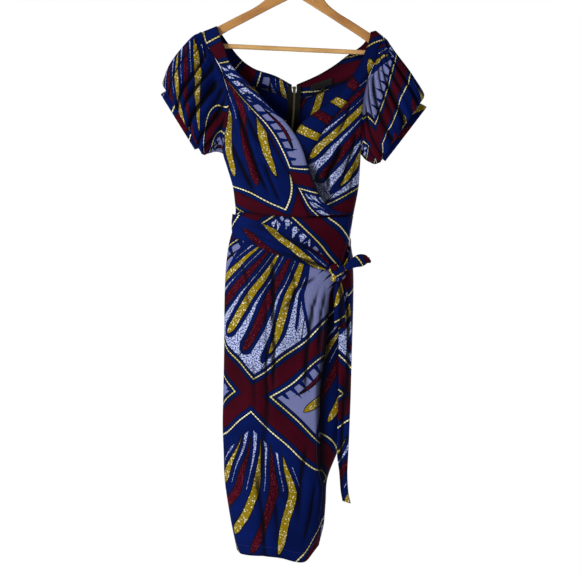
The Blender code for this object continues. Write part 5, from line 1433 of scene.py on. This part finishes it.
knot = raw_point(angle_at(KNOT_X, KNOT_Z), KNOT_Z) + np.array((0.0, -KNOT_OUT, 0.0))


def sash_front():
    """The sash over the front, folded lengthwise more and more towards the knot."""
    keys = [row.x for row in SASH]
    x = np.linspace(SASH[0].x, SASH[-1].x, SASH_POINTS)
    upper, lower, out = (smooth(keys, [getattr(row, name) for row in SASH], x)
                         for name in ("upper", "lower", "out"))
    across = np.linspace(0, 1, SASH_COLUMNS)[None, :]
    z = upper[:, None] + (lower - upper)[:, None] * across
    run = ((x - x[0]) / (x[-1] - x[0]))[:, None]
    folds = SASH_FOLD_START + SASH_FOLD_GROWTH * ease((run - 0.15) / 0.85)
    lift = folds * np.cos(2 * np.pi * (SASH_FOLDS * across + 0.35 * run + 0.1))
    from_groove = (across - GROOVE_PLACE - GROOVE_WANDER * np.sin(4 * run)) / GROOVE_WIDTH
    lift = lift - (GROOVE_DEPTH + GROOVE_GROWTH * run) * np.exp(-from_groove ** 2)
    lift = lift + SASH_WAVE * np.sin(9 * run + 3 * across) + SASH_OFF
    x = np.broadcast_to(x[:, None], z.shape)
    return body_point(angle_at(x, z), z, out[:, None] + lift)


def ribbon(spine, across, widths, columns, folds):
    """A strip of cloth along a spine: its width along a direction, folded lengthwise.

    folds are rows of (count, phase, twist, depth at the start, depth at the end).
    """
    keys = lengths(spine)
    s = np.linspace(-0.5, 0.5, columns)[None, :]
    run = (keys / keys[-1])[:, None]
    tangent = unit(np.gradient(spine, keys, axis=0))
    across = unit(np.asarray(across) - tangent * (tangent @ np.asarray(across))[:, None])
    normal = np.cross(tangent, across)
    lift = np.zeros((len(spine), columns))
    for count, phase, twist, first, last in folds:
        lift = lift + (first + (last - first) * run) * np.cos(2 * np.pi * (count * s + phase + twist * run))
    grid = spine[:, None, :] + across[:, None, :] * (widths[:, None] * s)[..., None]
    return grid + normal[:, None, :] * lift[..., None]


# The loop's sections from the knot outwards: right, up, width, half the gap between its layers.
LOOP = np.array(((0.000, 0.0000, 0.0110, 0.0026), (0.015, 0.0105, 0.0190, 0.0048),
                 (0.029, 0.0165, 0.0260, 0.0060), (0.040, 0.0180, 0.0210, 0.0050),
                 (0.046, 0.0175, 0.0120, 0.0040)))
LOOP_ACROSS = unit(np.array((-0.25, 0.0, 0.97)))
LOOP_START = (KNOT_WIDTH / 2 + 0.0020, 0.0, 0.0085)
loop_start = knot + np.array(LOOP_START)
layer = smooth(LOOP[:, 0], LOOP, np.linspace(0, LOOP[-1, 0], 26))
turn = np.linspace(0, np.pi, 12)[1:-1]
end_right, end_up, end_width, end_gap = LOOP[-1]
spine = [loop_start + np.array((right, -gap, up)) for right, up, _, gap in layer]
spine += [loop_start + np.array((end_right + math.sin(t) * end_gap, -math.cos(t) * end_gap, end_up))
          for t in turn]
spine += [loop_start + np.array((right, gap, up)) for right, up, _, gap in layer[::-1]]
widths = np.concatenate([layer[:, 2], np.full(len(turn), end_width), layer[::-1, 2]])
loop = ribbon(np.array(spine), LOOP_ACROSS, widths, 21, (
    (1.1, 0.1, 0.10, 0.0009, 0.0007), (2.3, 0.4, 0.00, 0.0003, 0.0003)))

# The tails' sections from the knot down: z, x, width, how far forward of the knot's middle.
TAIL_COLUMNS = 17
SHORT_TAIL = np.array(((-0.7092, 0.0822, 0.0130, 0.0010), (-0.7350, 0.0842, 0.0215, -0.0010),
                       (-0.7700, 0.0857, 0.0235, -0.0045), (-0.8010, 0.0867, 0.0225, -0.0065)))
LONG_TAIL = np.array(((-0.7092, 0.0857, 0.0120, -0.0035), (-0.7400, 0.0932, 0.0230, -0.0085),
                      (-0.8100, 0.0972, 0.0260, -0.0140), (-0.9200, 0.0967, 0.0255, -0.0165),
                      (-1.0100, 0.0942, 0.0245, -0.0165), (-1.0610, 0.0922, 0.0235, -0.0150),
                      (-1.1020, 0.0937, 0.0165, -0.0110), (-1.1400, 0.0962, 0.0160, -0.0120),
                      (-1.1630, 0.1007, 0.0175, -0.0135)))


def tail(table, steps, folds, slant):
    """A hanging end of the sash, from a table of its sections; its cut end is lower on the right."""
    z = np.linspace(table[0, 0], table[-1, 0], steps + 1)
    rows = smooth(-table[:, 0], table, -z)
    spine = np.stack([rows[:, 1], knot[1] - rows[:, 3], z], -1)
    grid = ribbon(spine, (1.0, 0.0, 0.0), rows[:, 2], TAIL_COLUMNS, folds)
    lower = np.linspace(-0.5, 0.5, TAIL_COLUMNS)[None, :] * np.linspace(0, 1, steps + 1)[:, None] ** 6
    grid[..., 2] -= slant * lower
    return grid


short_tail = tail(SHORT_TAIL, 34, ((1.3, 0.15, 0.2, 0.0016, 0.0012), (2.6, 0.3, 0.1, 0.0006, 0.0002)), 0.006)
long_tail = tail(LONG_TAIL, 150, ((1.15, 0.0, 0.9, 0.0016, 0.0014), (2.2, 0.2, -0.7, 0.0007, 0.0004)), 0.009)

# The short end from the right side seam: its edges' heights at the seam and how far they fall to
# the knot, and how far it stands off the skirt at the seam, near it and at the knot.
SIDE_UPPER, SIDE_LOWER = (-0.616, 0.056), (-0.652, 0.034)
SIDE_OUT, SIDE_LIFT, SIDE_RISE = 0.0018, 0.0016, 0.0125
SIDE_PLEATS, SIDE_PLEAT_DEPTH = 2.2, 0.0010
side_start, side_last = np.pi - 0.05, float(angle_at(KNOT_X + 0.0078, -0.676))
u = np.linspace(0, 1, 30)[:, None]
across = np.linspace(0, 1, 17)[None, :]
upper, lower = (start - fall * u for start, fall in (SIDE_UPPER, SIDE_LOWER))
z = upper + (lower - upper) * across
pleats = SIDE_PLEAT_DEPTH * u * np.cos(2 * np.pi * SIDE_PLEATS * across)
side_end = body_point(np.broadcast_to(side_start + (side_last - side_start) * u, z.shape), z,
                      SIDE_OUT + SIDE_LIFT * ease(u / 0.2) + SIDE_RISE * u * u + pleats)

for name, grid, turn, origin, node, size, held, rest in (
        ("front", sash_front()[:, ::-1], 176, (-0.030, 0.27),
         "sash_front", (0.052, 0.230), "stretched", "skirt_front_over"),
        ("loop", loop, 20, (0.05, 0.33), "sash_loop", (0.024, 0.115), "gathered", "sash_knot"),
        ("short", short_tail, 8, (0.035, 0.36), "sash_tail_short", (0.023, 0.095), "hung", "sash_knot"),
        ("long", long_tail, 3, (0.20, 0.66), "sash_tail_long", (0.024, 0.460), "hung", "sash_knot"),
        ("side", side_end, 85, (0.0, 0.40), "sash_side_end", (0.030, 0.045), "stretched", "sash_knot")):
    piece = printed(f"sash_{name}_cloth", grid, turn, origin, BAND_WALL)
    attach(piece, "dress")
    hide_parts(node)

# The knot: strands of the sash drawn tight over each other, each a flattened, pleated roll.
Strand = namedtuple("Strand", "path width thickness pleats turn origin")
STRANDS = [Strand(*row) for row in (
    (((-0.0155, 0.0030, 0.0085), (-0.0090, -0.0020, 0.0040), (0.0000, -0.0050, -0.0035),
      (0.0050, -0.0045, -0.0120), (0.0060, -0.0010, -0.0185)), 0.0190, 0.0085, 5, 15, (0.02, 0.52)),
    (((0.0150, 0.0020, 0.0090), (0.0085, -0.0050, 0.0070), (-0.0010, -0.0070, -0.0010),
      (-0.0070, -0.0045, -0.0100), (-0.0080, 0.0010, -0.0180)), 0.0150, 0.0080, 4, 70, (0.12, 0.24)),
    (((-0.0040, 0.0060, 0.0175), (-0.0070, -0.0040, 0.0130), (-0.0045, -0.0105, 0.0030),
      (0.0045, -0.0105, -0.0050), (0.0110, -0.0040, -0.0105), (0.0120, 0.0050, -0.0110)),
     0.0170, 0.0062, 6, -30, (0.21, 0.05)),
    (((-0.0120, 0.0065, -0.0020), (-0.0050, 0.0080, 0.0040), (0.0050, 0.0080, 0.0040),
      (0.0130, 0.0065, -0.0010)), 0.0260, 0.0090, 3, 0, (0.10, 0.10)),
)]


STRAND_POWER = 2.6
PLEAT_DEPTH = 0.0007
KNOT_HEART = (0.0, 0.004, 0.0)


def strand_grid(strand, steps=44, around=40):
    """A closed flattened roll along a path, rounded off at both ends."""
    share = np.linspace(0, 1, steps + 1)
    spine = along(np.array(strand.path) + knot, share)
    tangent = unit(np.gradient(spine, lengths(spine), axis=0))
    outwards = spine - (knot + np.array(KNOT_HEART))
    outwards = unit(outwards - tangent * np.sum(outwards * tangent, axis=1, keepdims=True))
    across = np.cross(tangent, outwards)
    end = np.sqrt(np.clip(1 - np.abs(np.linspace(-1, 1, steps + 1)) ** 6, 0.0, 1.0))[:, None]
    turn = 2 * np.pi * np.arange(around) / around
    cosine, sine = power_pair(turn, STRAND_POWER)
    pleat = PLEAT_DEPTH * np.cos(strand.pleats * np.pi * cosine + 1.0 + 1.5 * share[:, None])
    reach = strand.width / 2 * (0.86 + 0.14 * np.cos(2 * np.pi * share))[:, None]
    wide = (reach * cosine * end)[..., None] * across[:, None, :]
    deep = ((strand.thickness / 2 * sine + pleat * np.abs(sine)) * end)[..., None] * outwards[:, None, :]
    return spine[:, None, :] + wide + deep


whole_knot = bmesh.new()
for number, strand in enumerate(STRANDS):
    part = printed(f"strand_{number}", strand_grid(strand), strand.turn, strand.origin, wall=0.0, tube=True)
    bm = bmesh.new()
    bm.from_mesh(part.data)
    bmesh.ops.remove_doubles(bm, verts=bm.verts, dist=0.00003)
    bmesh.ops.holes_fill(bm, edges=[edge for edge in bm.edges if edge.is_boundary])
    bmesh.ops.recalc_face_normals(bm, faces=bm.faces)
    bm.to_mesh(part.data)
    bm.free()
    whole_knot.from_mesh(part.data)
    bpy.data.objects.remove(part, do_unlink=True)
sash_knot_cloth = in_scene("sash_knot_cloth", kept_mesh("sash_knot_cloth", whole_knot, WAX_PRINT))
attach(sash_knot_cloth, "dress")
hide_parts("sash_knot")

# ==================================================================== stitching
# Rows of lockstitch in navy thread: at the hem, down the wrap's free edge, round the cuffs, beside the zip,
# and in black round the label and across its tab.
STITCH_PITCH, STITCH_LENGTH, THREAD = 0.0030, 0.0024, 0.00050
STITCH = (THREAD, STITCH_LENGTH, THREAD)
LABEL_STITCH_PITCH, LABEL_STITCH = 0.0020, (0.00035, 0.0015, 0.00035)
HEM_DEPTH = 0.020
COVER = CLOTH_WALL / 2 + 0.0001
# Where a row of stitches runs, as a share of the way across a piece.
FREE_EDGE_ROW, ZIP_ROW, SKIRT_ZIP_ROW = 0.968, 0.945, 0.965
CUFF_ROW, OVER_CUFF_SHARE = 2, 0.022
MIDDLE_X, MIDDLE_Y = -0.004, 0.005


def spun_thread(name, colour):
    """Spun sewing thread: its twist as fine ribs, a little fuzz in its colour."""
    made, tree, shader = new_finish(name, 0.62)
    place = object_place(tree)
    twist = texture(tree, "Wave", place, 900.0, "Fac", Distortion=1.0)
    fuzz = texture(tree, "Noise", place, 1500.0, "Fac", Detail=2.0)
    light = tuple(min(1.0, value * 2.4 + 0.01) for value in colour)
    coloured(tree, shader, layered(tree, colour, light, fuzz.spread(0.35, 0.75)))
    bump(tree, shader, twist, 0.5, 0.0002)
    return made


def path_on(grid, columns=None, row=None, first=0.0, last=1.0, steps=120):
    """An even path on a grid: down at a share of its columns, or across at a share of its rows."""
    if row is not None:
        grid, columns = grid.transpose(1, 0, 2), row
    place = columns * (grid.shape[1] - 1)
    low = min(int(place), grid.shape[1] - 2)
    line = grid[:, low] + (grid[:, low + 1] - grid[:, low]) * (place - low)
    return along(line, np.linspace(first, last, steps))


def raised(path, out):
    """A path moved off the cloth, away from the middle of the dress."""
    middle = np.stack([path[:, 0] * 0.5 + MIDDLE_X, np.full(len(path), MIDDLE_Y), path[:, 2]], -1)
    away = path - middle
    away[:, 2] = 0.0
    return path + unit(away) * out


def share_up(grid, height):
    """The share of a panel's rows that lies at a height above its hem, at its middle."""
    run = lengths(grid[:, grid.shape[1] // 2])
    return 1 - height / run[-1]


NAVY_THREAD = spun_thread("navy_thread", (0.0045, 0.0100, 0.0620))
BLACK_THREAD = spun_thread("black_thread", (0.0090, 0.0090, 0.0100))
rows = [raised(path_on(panel, row=share_up(panel, HEM_DEPTH), first=0.004, last=0.996, steps=240), COVER)
        for panel in (over_panel, under_panel, left_panel, right_panel)]
rows.append(raised(path_on(over_panel, columns=FREE_EDGE_ROW, first=0.004, last=0.996, steps=400), COVER))
for panel, column in ((left_panel, SKIRT_ZIP_ROW), (right_panel, 1 - SKIRT_ZIP_ROW)):
    zip_share = (panel[0, -1, 2] - ZIP_END_Z) / (panel[0, -1, 2] - panel[-1, -1, 2])
    rows.append(raised(path_on(panel, columns=column, first=0.002, last=zip_share, steps=120), COVER))
for panel, column in ((left_back, ZIP_ROW), (right_back, 1 - ZIP_ROW)):
    rows.append(raised(path_on(panel, columns=column, first=0.01, last=0.99, steps=120), COVER))
for side in ("left", "right"):
    cuff = cuff_grid(side)
    seam_edge = cuff[CUFF_ROW] + (cuff[CUFF_ROW] - cuff[CUFF_ROW].mean(axis=0)) * OVER_CUFF_SHARE
    rows.append(np.concatenate([seam_edge, seam_edge[:1]]))
LOCKSTITCH = repeated_on_curve("lockstitch", NAVY_THREAD, STITCH_PITCH, STITCH, round_part=True)
along_paths("navy_stitches", rows, LOCKSTITCH, "dress")

rows = []
for top_edge, height in ((LABEL_TOP, LABEL_HEIGHT), (TAB_TOP, TAB_HEIGHT)):
    flat_label = inside_band(top_edge, height, LABEL_STEPS)
    flat_label[..., 1] += -LABEL_WALL / 2 - 0.0001
    if top_edge is LABEL_TOP:
        for share in (0.09, 0.91):
            rows.append(path_on(flat_label, row=share, first=0.02, last=0.98, steps=60))
        for share in (0.02, 0.98):
            rows.append(path_on(flat_label, columns=share, first=0.09, last=0.91, steps=20))
    else:
        rows.append(path_on(flat_label, row=0.10, first=0.06, last=0.94, steps=20))
SMALL_STITCH = repeated_on_curve("label_stitch", BLACK_THREAD, LABEL_STITCH_PITCH, LABEL_STITCH,
                                 round_part=True)
along_paths("black_stitches", rows, SMALL_STITCH, "dress")

# ==================================================================== hanger
# A wooden hanger: two lacquered arms in one shaped board, a paler round bar let into their ends,
# and a bright steel hook screwed into the neck. It leans a little, lower on the right.
HOOK_RADIUS, WIRE_RADIUS = 0.019, 0.00175
HANGER_LEAN = math.radians(2.65)
ARM_THICKNESS, ARM_ROUND, ARM_POINTS = 0.012, 0.0032, 120
BAR_RADIUS, BAR_Z, BAR_HALF_LENGTH, BAR_SIDES = 0.005, -0.2043, 0.1905, 40
BAR_END_ROUND, BAR_UNEVEN = 0.0008, 0.00006
ARM_OUTLINE = ((0.0120, -0.0655), (0.0180, -0.0700), (0.0340, -0.0781), (0.0480, -0.0870),
               (0.0585, -0.0974), (0.0645, -0.1049), (0.0725, -0.1124), (0.0820, -0.1195),
               (0.0935, -0.1270), (0.1150, -0.1388), (0.1570, -0.1632), (0.1760, -0.1750),
               (0.1900, -0.1875), (0.1970, -0.2030), (0.1955, -0.2125), (0.1885, -0.2160),
               (0.1790, -0.2075), (0.1520, -0.1821), (0.0937, -0.1469), (0.0520, -0.1226),
               (0.0200, -0.1046), (0.0095, -0.0990), (0.0000, -0.0972))
HANGER_PLACE = Matrix.Translation((0.0, 0.0, -HOOK_RADIUS)) @ Matrix.Rotation(HANGER_LEAN, 4, "Y")


def lacquered_wood(name, slope, colours, gloss):
    """Straight-grained wood under clear lacquer; the grain runs down each side at a slope."""
    made, tree, shader = new_finish(name, gloss)
    shader.inputs["Coat Weight"].default_value = 0.35
    shader.inputs["Coat Roughness"].default_value = 0.18
    place = object_place(tree)
    parts = tree.nodes.new("ShaderNodeSeparateXYZ")
    tree.links.new(place, parts.inputs[0])
    x, y, z = (Reading(tree, parts.outputs[i]) for i in range(3))
    down = x.size() * math.cos(slope) - z * math.sin(slope)
    over = x.size() * math.sin(slope) + z * math.cos(slope)
    grain = tree.nodes.new("ShaderNodeCombineXYZ")
    for socket, value in zip(grain.inputs, (down * 0.09, over + x.made("SIGN") * 0.2, y)):
        tree.links.new(value.source, socket)
    rings = texture(tree, "Wave", grain.outputs[0], 34.0, "Fac", Distortion=4.5, Detail=2.0)
    fibre = texture(tree, "Noise", grain.outputs[0], 420.0, "Fac", Detail=4.0)
    pores = texture(tree, "Noise", grain.outputs[0], 900.0, "Fac", Detail=1.0)
    cloudy = texture(tree, "Noise", place, 16.0, "Fac", Detail=2.0)
    light, middle, dark = colours
    colour = layered(tree, light, middle, rings.spread(0.25, 0.95) * 0.75)
    colour = layered(tree, colour, dark, fibre.spread(0.50, 0.80) * 0.55)
    colour = layered(tree, colour, dark, pores.spread(0.66, 0.72) * 0.60)
    colour = layered(tree, colour, middle, cloudy.spread(0.40, 0.75) * 0.45)
    coloured(tree, shader, colour)
    tree.links.new(fibre.spread(0.2, 0.8, gloss - 0.08, gloss + 0.12).source, shader.inputs["Roughness"])
    bump(tree, shader, fibre * 0.7 + pores * -0.4, 0.25, 0.0004)
    return made


ARM_WOOD = lacquered_wood("hanger_wood", math.radians(29), (
    (0.442, 0.208, 0.053), (0.336, 0.141, 0.032), (0.177, 0.063, 0.013)), 0.42)
BAR_WOOD = lacquered_wood("hanger_bar_wood", 0.0, (
    (0.610, 0.360, 0.131), (0.509, 0.272, 0.082), (0.296, 0.131, 0.037)), 0.48)


def hanger_piece(name, rings, finish, node, concave=False):
    """A piece of the hanger through rings of points, closed at both ends, leaned and put at its place."""
    layers, count = len(rings), len(rings[0])
    faces = []
    for low in range(0, (layers - 1) * count, count):
        high = low + count
        faces += [(low + i, low + (i + 1) % count, high + (i + 1) % count, high + i) for i in range(count)]
    faces += [range(count)[::-1], range((layers - 1) * count, layers * count)]
    mesh = bpy.data.meshes.new(name)
    mesh.from_pydata(np.concatenate(rings), [], faces)
    bm = bmesh.new()
    bm.from_mesh(mesh)
    if concave:
        bmesh.ops.triangulate(bm, faces=[face for face in bm.faces if len(face.verts) > 4])
    bmesh.ops.recalc_face_normals(bm, faces=bm.faces)
    bm.to_mesh(mesh)
    bm.free()
    mesh.transform(HANGER_PLACE)
    mesh.materials.append(finish)
    mesh.shade_smooth()
    piece = in_scene(name, mesh)
    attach(piece, "dress")
    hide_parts(node)
    return piece


half = along(ARM_OUTLINE, np.linspace(0, 1, ARM_POINTS))
outline = np.concatenate([half, half[-2::-1] * np.array((-1.0, 1.0))])
outline = outline[np.concatenate([[True], np.linalg.norm(np.diff(outline, axis=0), axis=1) > 1e-5])]
edge = unit(np.roll(outline, -1, axis=0) - np.roll(outline, 1, axis=0))
inwards = np.stack([edge[:, 1], -edge[:, 0]], -1)
from_middle = outline - outline.mean(axis=0)
if np.sum((from_middle + inwards * MM) ** 2) > np.sum(from_middle ** 2):
    inwards = -inwards
turn = np.linspace(0, np.pi / 2, 6)
depths = np.concatenate([-ARM_THICKNESS / 2 + ARM_ROUND * (1 - np.sin(turn[::-1])),
                         ARM_THICKNESS / 2 - ARM_ROUND * (1 - np.sin(turn))])
insets = ARM_ROUND * (1 - np.cos(np.concatenate([turn[::-1], turn])))
layers = [np.stack([outline[:, 0] + inwards[:, 0] * inset, np.full(len(outline), depth),
                    outline[:, 1] + inwards[:, 1] * inset], -1) for depth, inset in zip(depths, insets)]
hanger_piece("hanger_arms_wood", layers, ARM_WOOD, "hanger_arms", concave=True)

turn = np.linspace(0, 2 * np.pi, BAR_SIDES + 1)[:-1]
full_size = BAR_HALF_LENGTH - BAR_END_ROUND
x = np.concatenate([[-BAR_HALF_LENGTH], np.linspace(-full_size, full_size, 60), [BAR_HALF_LENGTH]])
radius = BAR_RADIUS + BAR_UNEVEN * np.sin(x * 90)
radius[[0, -1]] -= BAR_END_ROUND
ring = np.stack([np.zeros(BAR_SIDES), np.cos(turn), np.sin(turn)], -1)
rings = [np.array((place, 0.0, BAR_Z)) + ring * size for place, size in zip(x, radius)]
hanger_piece("hanger_bar_rod", rings, BAR_WOOD, "hanger_bar")

# The hook is a circle open on the left, on a stem that comes back under its middle.
HOOK_STEEL, tree, shader = new_finish("hook_steel", 0.24, 1.0)
place = object_place(tree)
cloudy = texture(tree, "Noise", place, 130.0, "Fac", Detail=3.0)
drawn = texture(tree, "Noise", place, 1400.0, "Fac", Detail=2.0)
coloured(tree, shader, layered(tree, (0.50, 0.50, 0.51), (0.66, 0.66, 0.66), cloudy.spread(0.3, 0.7)))
tree.links.new(cloudy.spread(0.2, 0.8, 0.16, 0.34).source, shader.inputs["Roughness"])
bump(tree, shader, drawn, 0.12, 0.0002)
WIRE_CIRCLE = HOOK_RADIUS + WIRE_RADIUS
HOOK_START, HOOK_END = -58, 206
STEM = ((0.0, -0.082), (0.0, -0.050), (0.0, -0.036))
WIRE_RINGS, WIRE_SIDES, WIRE_TIP = 160, 24, 3.4
turn = np.radians(np.arange(HOOK_START, HOOK_END, 12))
route = np.concatenate([STEM, WIRE_CIRCLE * np.stack([np.cos(turn), np.sin(turn)], -1)])
route = along(route, np.linspace(0, 1, WIRE_RINGS))
route = np.stack([route[:, 0], np.zeros(WIRE_RINGS), route[:, 1]], -1)
over_wire = np.array((0.0, 1.0, 0.0))
beside_wire = np.cross(unit(np.gradient(route, axis=0)), over_wire)
turn = np.linspace(0, 2 * np.pi, WIRE_SIDES + 1)[:-1, None]
to_tip = np.clip((np.arange(WIRE_RINGS) - WIRE_RINGS + 4) / WIRE_TIP, 0, 1)
radius = (WIRE_RADIUS * np.sqrt(1 - to_tip ** 2))[:, None, None]
rings = route[:, None, :] + radius * (beside_wire[:, None, :] * np.cos(turn) + over_wire * np.sin(turn))
hanger_piece("hanger_hook_wire", rings, HOOK_STEEL, "hanger_hook")

# ==================================================================== room
# A white room: a pale floor under the dress, a plain backdrop all round that casts no light of
# its own, and soft lamps: the key lamp at the upper left, a weak one at the right, one behind.
WHITE, NO_COLOUR = (1.0, 1.0, 1.0, 1.0), (0.0, 0.0, 0.0, 1.0)
ROOM_LIGHT, FLOOR_GLOW = 0.20, 0.42
FLOOR_Z, FLOOR_RADIUS, BACKDROP_RADIUS = -1.56, 2.6, 16.0
scene = bpy.context.scene
scene.view_settings.view_transform = "Standard"
world = bpy.data.worlds.new("white_room")
world.use_nodes = True
world.node_tree.nodes["Background"].inputs["Color"].default_value = WHITE
world.node_tree.nodes["Background"].inputs["Strength"].default_value = ROOM_LIGHT
scene.world = world

bm = bmesh.new()
bmesh.ops.create_circle(bm, cap_ends=True, segments=96, radius=FLOOR_RADIUS)
bmesh.ops.translate(bm, verts=bm.verts, vec=(0.0, 0.0, FLOOR_Z))
FLOOR_FINISH, tree, shader = new_finish("pale_floor", 0.8)
cloudy = texture(tree, "Noise", object_place(tree), 5.0, "Fac", Detail=2.0)
coloured(tree, shader, layered(tree, (0.80, 0.80, 0.80), (0.84, 0.84, 0.84), cloudy))
shader.inputs["Emission Color"].default_value = WHITE
shader.inputs["Emission Strength"].default_value = FLOOR_GLOW
floor = in_scene("floor", kept_mesh("floor", bm, FLOOR_FINISH))

bm = bmesh.new()
bmesh.ops.create_icosphere(bm, subdivisions=4, radius=BACKDROP_RADIUS)
BACKDROP_FINISH, tree, shader = new_finish("white_backdrop", 1.0)
shader.inputs["Base Color"].default_value = NO_COLOUR
shader.inputs["Emission Color"].default_value = WHITE
shader.inputs["Emission Strength"].default_value = 1.0
backdrop = in_scene("backdrop", kept_mesh("backdrop", bm, BACKDROP_FINISH))
backdrop.visible_diffuse = False
backdrop.visible_glossy = False
backdrop.visible_shadow = False
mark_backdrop(floor, backdrop)

for name, place, aim_z, size, watts in (("key_lamp", (-2.0, -1.9, 0.5), -0.65, 0.8, 84.0),
                                        ("fill_lamp", (2.1, -1.6, -0.3), -0.60, 1.6, 7.0),
                                        ("back_lamp", (1.8, 2.2, 0.5), -0.65, 1.2, 62.0)):
    light = bpy.data.lights.new(name, "AREA")
    light.shape = "SQUARE"
    light.size = size
    light.energy = watts
    lamp = in_scene(name, light)
    lamp.location = place
    lamp.rotation_mode = "QUATERNION"
    lamp.rotation_quaternion = (Vector((0.0, 0.0, aim_z)) - Vector(place)).to_track_quat("-Z", "Y")

CAMERA_AWAY, FRAME_SIDE, SENSOR = 8.0, 1.2064, 36.0
FRAME_MIDDLE = Vector((-0.0166, 0.0, -0.7238))
camera = bpy.data.cameras.new("camera")
camera.sensor_width = SENSOR
camera.lens = SENSOR * CAMERA_AWAY / FRAME_SIDE
camera.clip_end = 100.0
viewer = in_scene("camera", camera)
viewer.location = FRAME_MIDDLE + Vector((0.0, -CAMERA_AWAY, 0.0))
viewer.rotation_euler = (math.radians(90), 0.0, 0.0)
scene.camera = viewer

low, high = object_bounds()
